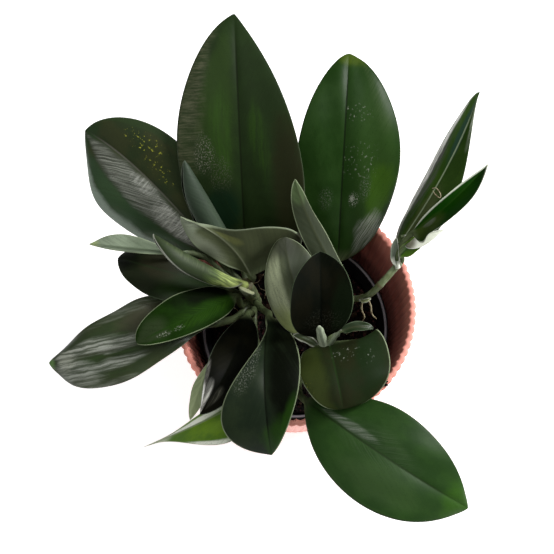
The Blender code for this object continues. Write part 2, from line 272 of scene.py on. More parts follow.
# Three shades of each kind of soil: the dark one, the light one, and the reddish one of its specks.
SOILS = {
    "potting_soil": ((0.0015, 0.001, 0.001), (0.006, 0.004, 0.0035), (0.045, 0.013, 0.014)),
    "soil_crumb": ((0.0025, 0.0016, 0.0015), (0.011, 0.0065, 0.0055), (0.055, 0.017, 0.017)),
    "bark_chip": ((0.012, 0.007, 0.004), (0.045, 0.024, 0.014), (0.06, 0.034, 0.022)),
}


class Leaf(NamedTuple):
    """One leaf or bract: where it grows, the line of its midrib, and the shape of its two halves.

    `height` is where the petiole leaves the stem, and None is the stem's end. A bract has no stem. The midrib
    is an arch through `base`, `mid` and `tip`. `face` points out of the upper side, and turns to `face_tip`
    where one is given. `widths`, `fold`, `curl` and `lobes` are pairs for the left and the right half, seen
    from above with the tip away: `fold` and `curl` are degrees turned up at the midrib and on the way out,
    and `lobes` reach back past the foot. `shape_left` and `shape_right` say how slowly each half widens and
    then narrows. `ruffle` is how far the margin waves and `waves` how often, `pucker` the height of the
    ripples that follow the veins, and `swell` that of the long swells of the blade.
    """

    stem: str
    height: float
    base: tuple
    mid: tuple
    tip: tuple
    face: tuple
    widths: tuple
    shape_left: tuple = (0.6, 0.9)
    shape_right: tuple = (0.6, 0.9)
    fold: tuple = (0, 0)
    curl: tuple = (0, 0)
    lobes: tuple = (0, 0)
    face_tip: tuple = None
    petiole: float = PETIOLE_RADIUS
    ruffle: float = 0.5
    waves: float = 2.0
    pucker: float = 0.04
    swell: float = 0.3


LEAVES = {
    "leaf_01": Leaf(
        "stem_a", 116, (-30, 28, 128), (-32, 82, 190), (-35, 146, 212), (0, -0.6, 1), (35.5, 36),
        (0.6, 0.75), (0.36, 0.93), (10, 10), (-15, -15), ruffle=0.8,
    ),
    "leaf_02": Leaf(
        "stem_c", 108, (26, 31, 122), (27, 78, 180), (30, 131, 195), (0.1, -0.5, 1), (28, 33),
        (0.42, 0.72), (0.5, 0.64), (10, 10), (-20, -20), ruffle=0.7, swell=0.5,
    ),
    "leaf_03": Leaf(
        "stem_a", 119, (-46, 30, 128), (-86, 64, 173), (-121, 90, 180), (-0.2, -0.4, 1), (34, 28),
        (0.7, 0.8), (0.7, 0.82), (15, 15), (-40, -25),
    ),
    "leaf_04": Leaf(
        "stem_a", 129, (-62, 25.5, 152), (-90, 24, 163), (-119, 28, 160), (0, 0.4, -1), (7.5, 2.6),
        (2.2, 1.2), (0.6, 0.6), petiole=1.5, ruffle=0.5, waves=3,
    ),
    "leaf_05": Leaf(
        "stem_a", 113, (-41, 12, 125), (-73, 14, 150), (-104, 24, 147), (0, 0.1, 1), (18.5, 17),
        (0.6, 0.7), (0.6, 0.45), (5, 0), (-5, -15), ruffle=0.6, waves=3,
    ),
    "leaf_06": Leaf(
        "stem_a", None, (-31.5, 11, 137), (-56, 15.5, 167), (-80, 27, 178), (-0.4, -0.7, -0.55), (13, 14),
        (0.9, 0.8), (0.9, 0.8), (5, 5), (150, 150), face_tip=(-0.4, -0.9, 0.4), petiole=2.3,
    ),
    "leaf_07": Leaf(
        "stem_a", 107, (-37, 5, 131), (-61, -14, 154), (-89.5, -29.5, 156), (0, -0.2, 1), (9.5, 15),
        (0.4, 0.6), (0.5, 0.5), (5, 5), (-10, -10), ruffle=0.7, waves=2.5, pucker=0.1,
    ),
    "leaf_08": Leaf(
        "stem_a", 102, (-46, -10, 127), (-92, -27, 143), (-146, -33, 122), (-0.1, -0.2, 1), (20.5, 26),
        (1.7, 0.75), (0.45, 0.85), (10, 10), (-25, -25), petiole=2.4, ruffle=1.2, waves=3, swell=0.9,
    ),
    "leaf_09": Leaf(
        "stem_a", 130, (-27, 16, 140.5), (-41, 27, 169), (-64, 34, 187), (-0.3, 0.82, -0.5), (36.5, 13.5),
        (0.3, 3.0), (0.9, 0.7), (-8, 0), (-5, 0), (-20, 0), ruffle=1.0, waves=2,
    ),
    "leaf_10": Leaf(
        "stem_a", 124, (-36, 31, 144), (-47, 46, 167), (-62, 64, 195), (-1, -0.2, 0.7), (19, 19),
        (0.7, 0.7), (0.7, 0.7), (5, 5), (160, 160), petiole=1.6,
    ),
    "leaf_11": Leaf(
        "stem_c", 126, (11.5, -16, 148), (-0.5, 2, 158), (-7, 29.5, 167), (0, 0.4, -1), (17, 18),
        (0.7, 0.6), (0.3, 0.5), (0, 0), (20, 20), ruffle=0.6, swell=0.6,
    ),
    "leaf_12": Leaf(
        "stem_c", None, (14, -25, 148), (13, -7, 172), (13, 19, 172), (0, -0.4, 1), (18.5, 18.5),
        (0.6, 0.85), (0.8, 0.8), (10, 10), (20, 20), ruffle=0.5,
    ),
    "leaf_13": Leaf(
        "stem_c", 120, (31, 5, 140), (9, 36, 165), (-1, 56, 188), (-0.3, 0.4, -1), (6.5, 8), (0.35, 0.8),
        (0.5, 0.7), (0, 0), (20, 20), petiole=1.6,
    ),
    "leaf_14": Leaf(
        "stem_c", 130, (18.5, -29, 149.5), (21, -47, 162), (25, -67, 159), (0, -0.3, 1), (31.5, 20),
        (0.25, 0.36), (0.25, 0.4), (8, 0), (-20, -20), (28, 6), ruffle=0.6,
    ),
    "leaf_15": Leaf(
        "stem_c", 114, (5, -58, 136), (47, -93, 160), (93, -118, 140), (0, -0.1, 1), (26, 28.5),
        (0.75, 0.8), (0.85, 0.85), (10, 10), (-20, -20), ruffle=0.6,
    ),
    "leaf_16": Leaf(
        "stem_a", 106, (-16, -8, 132), (-18, -52, 162), (-14, -89, 138), (0, -0.2, 1), (20, 25),
        (0.6, 0.85), (2.6, 0.95), (15, 15), (-20, -20), ruffle=0.4,
    ),
    "leaf_17": Leaf(
        "stem_a", 97, (-29, -3, 119), (-38, -40, 147), (-54, -68, 147), (-0.1, -0.2, 1), (13, 12.5),
        (0.7, 0.8), (0.7, 1.0), (10, 10), (-10, -10), ruffle=0.3,
    ),
    "leaf_18": Leaf(
        "stem_a", 91.5, (-33, -59, 136), (-56, -71, 133), (-89, -81, 112), (0, 0, 1), (18.5, 6),
        (0.8, 2.2), (0.7, 2.0), (10, 20), (10, 20), petiole=1.6, ruffle=0.3,
    ),
    "leaf_19": Leaf(
        "stem_b", None, (59, 30, 151), (86.5, 71, 168), (106, 113, 183), (0.3, -0.3, 1), (12.5, 15),
        (0.6, 0.6), (0.6, 1.7), (25, 25), (0, 0), petiole=2.0, ruffle=0.3,
    ),
    "leaf_20": Leaf(
        "stem_b", 144.7, (67, 34, 162.5), (87, 47, 177), (108, 68, 182), (-0.1, 0.3, 1), (5, 17),
        (0.6, 0.9), (0.45, 0.9), (20, 10), (20, 50), petiole=1.6, ruffle=0.3,
    ),
    "leaf_21": Leaf(
        "stem_a", 88, (-48, -34, 134), (-55.5, -53, 136), (-61, -68, 128), (0.2, 0, -1), (5, 5),
        (0.7, 0.9), (0.7, 0.9), (0, 0), (10, 10), petiole=1.3, ruffle=0.3,
    ),
}

BRACTS = {
    "bract_crown": Leaf(
        None, 0, (16, -30.5, 150), (13.5, -26.5, 160), (12, -22, 166), (0, 0.5, -0.8), (4.2, 4.2),
        (0.4, 0.7), (0.4, 0.7), (0, 0), (110, 110), petiole=1.6, ruffle=0.3,
    ),
    "bract_crown_lip": Leaf(
        None, 0, (17.5, -30, 150), (21, -27, 158), (25, -23, 161), (0, 0.5, -0.8), (2.6, 2.6), (0.5, 0.9),
        (0.5, 0.9), (0, 0), (90, 90), petiole=1.0, ruffle=0.3,
    ),
    "bract_lobe": Leaf(
        None, 0, (25, -24.5, 163), (33, -22.5, 165.5), (42, -23, 164), (0.1, 0.2, 1), (3.2, 3.2),
        (0.4, 0.5), (0.4, 0.5), (0, 0), (40, 40), petiole=0.6, ruffle=0.3,
    ),
    "bract_side": Leaf(
        None, 0, (12.5, -29.5, 148), (5, -26, 153), (-2, -23.5, 151), (0, 0.1, 1), (3.2, 2.6), (0.5, 0.6),
        (0.5, 0.6), (0, 0), (30, 30), petiole=0.8, ruffle=0.3,
    ),
    "bract_stem": Leaf(
        None, 0, (-25, 7, 129), (-30, 8, 136), (-34, 10, 138), (0.2, -0.8, -0.4), (3.4, 3.4), (0.6, 0.8),
        (0.6, 0.8), (0, 0), (90, 90), petiole=1.0, ruffle=0.2,
    ),
    "bract_branch": Leaf(
        None, 0, (60, 24, 151), (66.5, 28.5, 156), (73, 33, 157), (0.2, -0.5, 0.8), (6, 5), (0.5, 0.6),
        (0.5, 0.6), (0, 0), (60, 60), petiole=1.6, ruffle=0.3,
    ),
    "bract_white": Leaf(
        None, 0, (62, 33.5, 158), (73.5, 33.5, 161), (86, 37, 161), (0.1, -0.2, 1), (1, 8), (0.4, 0.9),
        (0.35, 1.2), (0, 0), (20, 20), petiole=0.8, ruffle=0.2,
    ),
    "bract_bud": Leaf(
        None, 0, (39.5, 4, 127), (41.5, 3, 130), (44.5, 4, 132), (0, -0.3, 1), (1.7, 1.7), (0.4, 0.5),
        (0.4, 0.5), (0, 0), (80, 80), petiole=0.8, ruffle=0.1,
    ),
    "bract_node": Leaf(
        None, 0, (59, 19, 148), (57, 25, 154), (58, 33, 157), (-0.2, -0.4, 1), (3.2, 3.2), (0.5, 0.8),
        (0.5, 0.8), (0, 0), (70, 70), petiole=1.6, ruffle=0.2,
    ),
}


class Patch(NamedTuple):
    """A soft-edged area of colour on a blade; many are painted light: highlights, sheens and shaded halves.

    Its middle is at the share `u` of the way to the tip and at `across`, where -1 is the left margin and 1
    the right, and it reaches `reach_u` and `reach_across` from there. `grain` says what breaks it up: "soft"
    is nothing, "veins" fine lines along the veins, "cross" lines square to the midrib, "along" lines beside
    it, "specks" small spots, and "grit" the smallest. `relief` is how deeply it wrinkles the skin, in tenths
    of a millimetre.
    """

    colour: tuple
    strength: float
    u: float
    across: float
    reach_u: float
    reach_across: float
    grain: str = "soft"
    relief: float = 0.0


class Look(NamedTuple):
    """A leaf's finish: two mixed colours for its upper side, one for its underside, and patches of others.

    `rib` and `margin` colour the midrib and the edge, which is about `edge` millimetres wide, and `stalk`
    the petiole. `faces` is the side that the patches are on: 1 for the upper, -1 for the underside. `gloss`
    is the roughness, and `sheen` how much light the skin reflects.
    """

    upper: tuple
    mottle: tuple
    under: tuple = SAGE
    rib: tuple = DEEP
    margin: tuple = PALE
    edge: float = 0.45
    gloss: float = 0.40
    faces: int = 1
    patches: tuple = ()
    sheen: float = 0.42
    stalk: tuple = (0.085, 0.11, 0.05)


# Leaf finishes. Many pale, white and silver patches are painted highlights, sheens and reflections, and some
# lighter or darker halves are painted light and shade; each leaf's note says which.
LOOKS = {
    # leaf_01: the grey-brown cross-grained band on the left outer third is a painted sheen.
    "leaf_01": Look(
        (0.015, 0.030, 0.008), DEEP, rib=NIGHT, margin=SAGE, edge=0.3, gloss=0.45, sheen=0.12,
        patches=(
            Patch((0.020, 0.041, 0.008), 0.9, 0.62, -0.38, 0.45, 0.4),
            Patch((0.024, 0.060, 0.008), 0.8, 0.50, -0.32, 0.24, 0.24, "along"),
            Patch((0.022, 0.054, 0.007), 0.7, 0.47, 0.33, 0.2, 0.22, "along"),
            Patch((0.085, 0.088, 0.050), 0.85, 0.62, -0.95, 0.42, 0.42, "cross", 0.4),
            Patch((0.17, 0.17, 0.13), 0.85, 0.43, -0.58, 0.10, 0.2, "grit", 0.5),
            Patch((0.10, 0.10, 0.075), 0.6, 0.34, -0.36, 0.10, 0.24, "grit", 0.4),
            Patch((0.005, 0.019, 0.008), 0.85, 0.22, -0.35, 0.12, 0.45),
            Patch(UMBER, 0.7, 0.3, 0.8, 0.35, 0.4),
            Patch((0.012, 0.026, 0.006), 0.8, 1.0, 0.0, 0.12, 1.2),
        ),
    ),
    # leaf_02: the pale streaks near its foot, the white smear and the silver grit are painted highlights.
    "leaf_02": Look(
        (0.010, 0.032, 0.004), (0.014, 0.040, 0.006), rib=INK, margin=SAGE, edge=0.3, gloss=0.42,
        sheen=0.12,
        patches=(
            Patch((0.023, 0.056, 0.010), 0.85, 0.45, 0.6, 0.5, 0.5),
            Patch((0.036, 0.088, 0.006), 0.75, 0.3, 0.7, 0.2, 0.3),
            Patch((0.048, 0.076, 0.028), 0.5, 0.78, 0.75, 0.25, 0.22, "veins"),
            Patch((0.048, 0.080, 0.006), 0.9, 0.99, 0.1, 0.08, 1.5),
            Patch((0.30, 0.32, 0.27), 0.9, 0.12, 0.7, 0.12, 0.4, "veins", 1.2),
            Patch(FROST, 0.7, 0.275, 0.23, 0.045, 0.12, "grit", 0.5),
            Patch(FROST, 0.45, 0.28, 0.2, 0.02, 0.05),
            Patch(SILVER_SHEEN, 0.5, 0.33, 0.42, 0.07, 0.14, "grit", 0.3),
            Patch(SILVER_SHEEN, 0.4, 0.28, -0.35, 0.06, 0.2, "grit", 0.3),
            Patch(FROST, 0.3, 0.45, 0.3, 0.12, 0.4, "specks"),
            Patch(FROST, 0.35, 0.68, 0.2, 0.06, 0.4, "specks"),
        ),
    ),
    # leaf_03: the pale band on the left margin and the silver wrinkles beside the midrib are painted
    # reflections; the yellow flecks are its own.
    "leaf_03": Look(
        (0.021, 0.033, 0.012), OLIVE, rib=(0.10, 0.10, 0.08), margin=MIST, gloss=0.42, sheen=0.2,
        patches=(
            Patch((0.016, 0.040, 0.012), 0.8, 0.97, 0.1, 0.12, 1.5),
            Patch((0.024, 0.044, 0.014), 0.8, 0.6, 0.98, 0.6, 0.22),
            Patch((0.030, 0.064, 0.027), 0.8, 0.45, -0.66, 0.72, 0.3),
            Patch((0.22, 0.27, 0.22), 0.95, 0.52, -1.0, 0.75, 0.24),
            Patch((0.026, 0.030, 0.020), 1.0, 0.5, -0.26, 0.6, 0.32),
            Patch((0.22, 0.235, 0.195), 0.9, 0.52, -0.28, 0.58, 0.28, "veins", 2.6),
            Patch((0.42, 0.43, 0.38), 0.9, 0.24, -0.26, 0.16, 0.26, "cross", 2.0),
            Patch((0.34, 0.35, 0.31), 0.8, 0.48, -0.14, 0.12, 0.16, "cross", 1.6),
            Patch((0.42, 0.44, 0.04), 0.95, 0.63, 0.55, 0.15, 0.3, "specks"),
            Patch((0.42, 0.44, 0.04), 0.9, 0.48, 0.32, 0.12, 0.18, "specks"),
        ),
    ),
    "leaf_04": Look(
        SAGE, SAGE, under=(0.25, 0.31, 0.21), rib=SAGE, faces=-1, gloss=0.55,
        patches=(
            Patch((0.34, 0.42, 0.14), 0.6, 1.0, 0.0, 0.14, 1.5),
            Patch(SAGE, 0.7, 0.3, 0.0, 0.4, 1.5),
            Patch((0.10, 0.13, 0.08), 0.7, 0.6, 0.3, 0.4, 0.3),
        ),
    ),
    "leaf_05": Look(
        (0.005, 0.010, 0.002), (0.010, 0.014, 0.005), margin=SAGE, gloss=0.6, sheen=0.15,
        patches=(
            Patch((0.011, 0.028, 0.004), 0.8, 0.3, -0.3, 0.4, 0.8),
            Patch((0.022, 0.021, 0.009), 0.7, 0.6, 0.1, 0.25, 0.7),
            Patch(INK, 0.9, 0.98, 0.0, 0.2, 1.4),
        ),
    ),
    "leaf_06": Look(
        SAGE, TEAL, under=(0.022, 0.038, 0.010), rib=SAGE, margin=FROST, edge=1.0, faces=-1, gloss=0.5,
        stalk=(0.48, 0.58, 0.18),
        patches=(
            Patch((0.10, 0.16, 0.04), 0.85, 0.2, 0.0, 0.26, 2.5, "along", 0.4),
            Patch((0.50, 0.60, 0.18), 0.9, 0.06, 0.0, 0.3, 2.5, "along", 0.5),
            Patch((0.09, 0.12, 0.05), 0.6, 0.6, 0.3, 0.4, 0.3, "cross"),
        ),
    ),
    # leaf_07: the two whitish grit spots are painted highlights.
    "leaf_07": Look(
        (0.006, 0.018, 0.002), (0.009, 0.028, 0.003), rib=(0.012, 0.036, 0.004), margin=PALE, edge=0.55,
        gloss=0.55, sheen=0.01,
        patches=(
            Patch((0.017, 0.050, 0.004), 0.8, 0.35, -0.2, 0.5, 0.6, "veins", 0.2),
            Patch((0.026, 0.040, 0.016), 0.8, 0.85, 0.0, 0.2, 1.0),
            Patch((0.20, 0.22, 0.17), 0.9, 0.77, -0.35, 0.09, 0.26, "grit"),
            Patch((0.20, 0.22, 0.17), 0.8, 0.62, -0.35, 0.06, 0.2, "grit"),
            Patch(INK, 0.9, 0.25, 0.8, 0.5, 0.6),
        ),
    ),
    # leaf_08: the pale, silver and frost streaks along the blade are painted highlights on its waves.
    "leaf_08": Look(
        (0.030, 0.042, 0.015), (0.022, 0.036, 0.012), rib=OLIVE, margin=MIST, gloss=0.4, sheen=0.35,
        patches=(
            Patch((0.034, 0.072, 0.016), 0.7, 0.65, 0.0, 0.3, 0.9, "along"),
            Patch((0.050, 0.046, 0.026), 0.7, 0.35, 0.5, 0.3, 0.5),
            Patch((0.40, 0.42, 0.36), 0.95, 0.78, 0.25, 0.24, 0.36, "along", 2.2),
            Patch((0.44, 0.46, 0.40), 0.95, 0.60, 0.12, 0.18, 0.26, "along", 2.0),
            Patch((0.34, 0.36, 0.31), 0.9, 0.62, -0.4, 0.22, 0.22, "along", 1.8),
            Patch((0.32, 0.34, 0.29), 0.9, 0.84, -0.5, 0.18, 0.5, "along", 1.8),
            Patch(SILVER_SHEEN, 0.85, 0.68, -0.95, 0.2, 0.16, "along", 0.8),
            Patch(SILVER_SHEEN, 0.6, 0.5, 0.85, 0.3, 0.16, "along", 0.8),
            Patch(FROST, 0.8, 0.9, 0.0, 0.07, 0.8, "along", 1.0),
            Patch((0.10, 0.20, 0.05), 0.9, 1.0, 0.0, 0.05, 1.2),
        ),
    ),
    # leaf_09: the pale patches at the tip and along one margin are painted light on the side that faces it,
    # over the underside's own pale grey-green.
    "leaf_09": Look(
        TAUPE, OLIVE, under=(0.070, 0.085, 0.036), rib=(0.16, 0.18, 0.11), margin=(0.20, 0.24, 0.15),
        edge=1.3, faces=-1, gloss=0.5,
        patches=(
            Patch((0.18, 0.205, 0.14), 0.85, 0.6, 0.9, 0.4, 0.7),
            Patch((0.25, 0.29, 0.205), 0.85, 0.97, 0.0, 0.22, 1.6),
            Patch((0.17, 0.19, 0.06), 0.8, 0.5, -0.3, 0.2, 0.24),
            Patch((0.030, 0.040, 0.014), 0.85, 0.0, 0.0, 0.3, 2.0),
        ),
    ),
    "leaf_10": Look(
        (0.012, 0.02, 0.012), TEAL, under=(0.032, 0.052, 0.030), margin=MIST, faces=-1, gloss=0.5,
        patches=(Patch((0.045, 0.070, 0.040), 0.8, 0.4, 0.0, 0.4, 1.0, "along"),),
    ),
    # leaf_11: the pale strip and the yellow-green patch on one side are painted light and a highlight on the
    # side that faces it; the dark patch on the other half is painted shade.
    "leaf_11": Look(
        OLIVE, OLIVE, under=(0.058, 0.072, 0.033), rib=OLIVE, edge=0.5, faces=-1, gloss=0.5,
        patches=(
            Patch((0.34, 0.38, 0.23), 0.9, 0.55, 0.62, 0.5, 0.36),
            Patch((0.20, 0.24, 0.08), 0.9, 0.15, 0.7, 0.3, 0.5),
            Patch((0.12, 0.14, 0.08), 0.5, 0.5, 0.7, 0.5, 0.5, "along", 0.4),
            Patch((0.024, 0.032, 0.016), 0.85, 0.6, -0.4, 0.6, 0.75),
            Patch((0.022, 0.026, 0.013), 0.85, 1.0, 0.0, 0.22, 1.5),
        ),
    ),
    "leaf_12": Look(
        INK, (0.005, 0.005, 0.002), rib=(0.001, 0.002, 0.001), margin=SAGE, edge=0.4, gloss=0.75,
        sheen=0.06,
        patches=(
            Patch((0.006, 0.012, 0.004), 0.8, 0.4, 0.7, 0.4, 0.5),
            Patch((0.07, 0.075, 0.055), 0.35, 0.2, 0.2, 0.2, 1.0, "grit"),
        ),
    ),
    "leaf_13": Look(
        SAGE, TAUPE, under=(0.030, 0.040, 0.018), rib=OLIVE, margin=PALE, edge=0.6, faces=-1, gloss=0.55,
        sheen=0.3,
        patches=(
            Patch((0.070, 0.11, 0.040), 0.8, 0.9, 0.0, 0.25, 1.5),
            Patch((0.022, 0.030, 0.012), 0.7, 0.3, -0.4, 0.5, 1.0),
        ),
    ),
    # leaf_14: the lighter olive right third is painted light on the side that faces it, and the pale specks
    # on its left half are painted highlights.
    "leaf_14": Look(
        (0.012, 0.020, 0.006), (0.015, 0.018, 0.006), rib=(0.015, 0.034, 0.008), margin=PALE, edge=0.7,
        gloss=0.45, sheen=0.1,
        patches=(
            Patch((0.009, 0.021, 0.006), 0.8, 0.5, -0.7, 0.5, 0.4),
            Patch((0.034, 0.047, 0.010), 0.9, 0.5, 0.75, 0.65, 0.6),
            Patch((0.20, 0.22, 0.03), 0.8, 0.63, 0.92, 0.14, 0.18, "specks"),
            Patch((0.36, 0.38, 0.32), 0.7, 0.27, -0.22, 0.14, 0.34, "specks", 0.8),
            Patch((0.30, 0.32, 0.27), 0.5, 0.42, -0.62, 0.1, 0.16, "specks", 0.8),
        ),
    ),
    # leaf_15: the pale vein streaks near its foot are a painted sheen.
    "leaf_15": Look(
        (0.020, 0.053, 0.010), (0.015, 0.042, 0.008), rib=DEEP, margin=MIST, edge=0.4, gloss=0.42,
        sheen=0.14,
        patches=(
            Patch((0.24, 0.27, 0.22), 0.8, 0.27, -0.16, 0.2, 0.15, "veins", 0.9),
            Patch((0.06, 0.095, 0.045), 0.35, 0.42, -0.1, 0.35, 0.45, "veins", 0.2),
            Patch((0.032, 0.066, 0.018), 0.6, 0.56, 0.5, 0.3, 0.4),
            Patch((0.028, 0.085, 0.006), 0.75, 0.97, 0.0, 0.16, 1.4),
            Patch((0.026, 0.060, 0.015), 0.5, 0.5, 1.0, 0.5, 0.1),
        ),
    ),
    # leaf_16: the grey grit on its right half is a painted sheen where it faces the light, and the black
    # patch over its left half is painted shade.
    "leaf_16": Look(
        (0.015, 0.024, 0.011), (0.009, 0.016, 0.008), rib=INK, margin=PALE, edge=0.7, gloss=0.45,
        sheen=0.08,
        patches=(
            Patch((0.13, 0.14, 0.115), 0.8, 0.38, 0.68, 0.24, 0.4, "grit", 0.4),
            Patch(INK, 1.0, 0.36, -0.6, 0.6, 0.72),
            Patch((0.012, 0.040, 0.003), 0.9, 0.97, -0.4, 0.26, 0.9),
            Patch((0.014, 0.048, 0.003), 0.7, 0.80, -0.9, 0.26, 0.3),
        ),
    ),
    # leaf_17: the white and grey streaks towards its tip are painted highlights.
    "leaf_17": Look(
        (0.0015, 0.002, 0.001), (0.004, 0.004, 0.0015), rib=INK, margin=MIST, gloss=0.6, sheen=0.08,
        patches=(
            Patch((0.92, 0.92, 0.86), 0.98, 0.87, 0.92, 0.16, 0.24),
            Patch((0.8, 0.8, 0.72), 0.95, 0.86, 0.5, 0.2, 0.42, "along", 0.5),
            Patch((0.26, 0.25, 0.22), 0.8, 0.70, 0.92, 0.2, 0.2, "along", 0.6),
            Patch((0.12, 0.12, 0.09), 0.8, 0.82, -0.2, 0.14, 0.35, "along", 0.4),
        ),
    ),
    # leaf_18: the two white bands and the pale tip are painted highlights.
    "leaf_18": Look(
        (0.13, 0.25, 0.008), (0.07, 0.16, 0.010), rib=PALE, margin=(0.45, 0.5, 0.35), gloss=0.45,
        patches=(
            Patch((0.92, 0.95, 0.82), 0.97, 0.55, 0.42, 0.6, 0.4),
            Patch((0.92, 0.95, 0.82), 0.95, 0.42, -0.94, 0.25, 0.17),
            Patch((0.60, 0.64, 0.48), 0.95, 0.97, 0.0, 0.26, 2.0),
        ),
    ),
    # leaf_19: the silver band along its left margin and the pale streaks near its right tip are painted
    # reflections.
    "leaf_19": Look(
        (0.014, 0.034, 0.003), (0.010, 0.027, 0.002), rib=(0.17, 0.21, 0.13), margin=MIST, gloss=0.42,
        sheen=0.06,
        patches=(
            Patch((0.010, 0.026, 0.016), 0.95, 0.74, -0.1, 0.3, 0.35),
            Patch((0.036, 0.046, 0.015), 0.8, 0.2, 0.1, 0.25, 0.5),
            Patch((0.36, 0.36, 0.34), 0.98, 0.46, -0.94, 0.6, 0.22),
            Patch((0.035, 0.035, 0.032), 0.98, 0.36, -0.72, 0.45, 0.4, "along", 1.0),
            Patch((0.24, 0.26, 0.21), 0.8, 0.86, 0.75, 0.26, 0.3, "along"),
        ),
    ),
    "leaf_20": Look(
        (0.004, 0.034, 0.0005), (0.006, 0.034, 0.0005), under=(0.66, 0.69, 0.60),
        rib=(0.012, 0.045, 0.004), margin=(0.6, 0.64, 0.52), edge=1.1, gloss=0.5, sheen=0.03,
        patches=(
            Patch((0.040, 0.060, 0.012), 0.8, 0.15, 0.3, 0.25, 0.8),
            Patch((0.15, 0.16, 0.13), 0.6, 0.2, 0.1, 0.1, 0.2, "along"),
            Patch((0.004, 0.02, 0.001), 0.7, 0.95, 0.0, 0.2, 1.5),
        ),
    ),
    "leaf_21": Look(PALE, MIST, under=(0.28, 0.34, 0.17), rib=PALE, margin=FROST),
}

BRACT_LOOKS = {
    "bract_crown": Look(MIST, SAGE, under=(0.36, 0.42, 0.29), rib=MIST, margin=(0.6, 0.64, 0.5), faces=-1),
    "bract_crown_lip": Look(SAGE, MIST, under=(0.24, 0.29, 0.18), rib=MIST, margin=FROST, faces=-1),
    "bract_lobe": Look((0.026, 0.046, 0.018), DEEP, under=SAGE, rib=OLIVE, margin=SAGE),
    "bract_side": Look((0.055, 0.075, 0.030), OLIVE, under=OLIVE, rib=SAGE, margin=FROST, edge=0.8),
    "bract_stem": Look(PALE, SAGE, under=(0.58, 0.62, 0.36), rib=SAGE, margin=MIST, faces=-1),
    "bract_branch": Look(
        (0.085, 0.19, 0.006), (0.06, 0.15, 0.008), under=(0.10, 0.2, 0.02), rib=MOSS, margin=LIME,
        stalk=(0.12, 0.2, 0.03),
    ),
    "bract_white": Look(
        (0.74, 0.76, 0.68), (0.6, 0.62, 0.52), rib=FROST, margin=(0.8, 0.82, 0.74),
        patches=(Patch((0.09, 0.085, 0.045), 0.9, 0.1, 0.5, 0.25, 1.0),),
    ),
    "bract_bud": Look(CREAM, (0.42, 0.44, 0.22), rib=PALE, margin=FROST, stalk=FROST),
    "bract_node": Look(
        (0.10, 0.125, 0.085), (0.16, 0.19, 0.14), rib=MIST, margin=FROST, stalk=(0.62, 0.64, 0.54),
        patches=(Patch((0.62, 0.64, 0.54), 0.9, 0.1, 0.0, 0.3, 2.0),),
    ),
}


# ---------------------------------------------------------------- shader maths


class Value:
    """A shader socket that takes part in arithmetic."""

    def __init__(self, finish, socket):
        self.finish = finish
        self.socket = socket

    def __add__(self, other):
        return self.finish.maths("ADD", self, other)

    def __sub__(self, other):
        return self.finish.maths("SUBTRACT", self, other)

    def __rsub__(self, other):
        return self.finish.maths("SUBTRACT", other, self)

    def __mul__(self, other):
        return self.finish.maths("MULTIPLY", self, other)

    def __truediv__(self, other):
        return self.finish.maths("DIVIDE", self, other)

    def __abs__(self):
        return self.finish.maths("ABSOLUTE", self)

    __radd__ = __add__
    __rmul__ = __mul__


class Finish:
    """A material's node tree, filled in by short expressions."""

    def __init__(self, name):
        self.material = bpy.data.materials.new(name)
        self.material.use_nodes = True
        self.tree = self.material.node_tree
        self.shader = self.tree.nodes["Principled BSDF"]

    def node(self, kind, settings=None, sockets=None, out=0):
        """Add a node: its settings first, then the values or links of its sockets."""
        made = self.tree.nodes.new(kind)
        for key, value in (settings or {}).items():
            setattr(made, key, value)
        for key, value in (sockets or {}).items():
            self.feed(made.inputs[key], value)
        return Value(self, made.outputs[out])

    def feed(self, socket, value):
        if isinstance(value, Value):
            self.tree.links.new(value.socket, socket)
        elif socket.type == "RGBA":
            socket.default_value = (*value[:3], 1.0)
        else:
            socket.default_value = value

    def maths(self, operation, *values):
        return self.node("ShaderNodeMath", {"operation": operation}, dict(enumerate(values)))

    def smooth(self, value, low, high):
        """0 below low and 1 above high, with an even swing between them."""
        sockets = {"Value": value, "From Min": low, "From Max": high}
        return self.node("ShaderNodeMapRange", {"interpolation_type": "SMOOTHSTEP"}, sockets)

    def mix(self, share, first, second):
        """A colour that goes from the first to the second as share goes from 0 to 1."""
        return self.node("ShaderNodeMix", {"data_type": "RGBA"}, {0: share, 6: first, 7: second}, 2)

    def vector(self, x, y, z):
        return self.node("ShaderNodeCombineXYZ", None, {0: x, 1: y, 2: z})

    def parts(self, vector):
        return [self.node("ShaderNodeSeparateXYZ", None, {0: vector}, axis) for axis in range(3)]

    def attribute(self, name):
        return self.node("ShaderNodeAttribute", {"attribute_name": name}, None, "Vector")

    def place(self):
        return self.node("ShaderNodeTexCoord", None, None, "Object")

    def noise(self, vector, scale, detail=2.0, roughness=0.5):
        sockets = {"Vector": vector, "Scale": scale, "Detail": detail, "Roughness": roughness}
        return self.node("ShaderNodeTexNoise", None, sockets)

    def finish(self, colour, roughness, height, depth, specular=0.4):
        """Feed the shader: a colour, a roughness, a bump of that depth in millimetres, and a fixed sheen."""
        self.feed(self.shader.inputs["Base Color"], colour)
        self.feed(self.shader.inputs["Roughness"], roughness)
        bump = self.node("ShaderNodeBump", None, {"Height": height, "Distance": depth * MM, "Strength": 1.0})
        self.feed(self.shader.inputs["Normal"], bump)
        self.shader.inputs["Specular IOR Level"].default_value = specular
        return self.material


# ---------------------------------------------------------------- finishes


# Each grain: its length and width in millimetres, and the noise at which a line or spot starts and is full.
GRAINS = {
    "veins": (1.2, 11.0, 0.38, 0.66),
    "cross": (1.1, 8.0, 0.36, 0.72),
    "along": (26.0, 1.5, 0.36, 0.68),
    "specks": (1.9, 1.7, 0.60, 0.66),
    "grit": (0.9, 0.8, 0.50, 0.64),
}


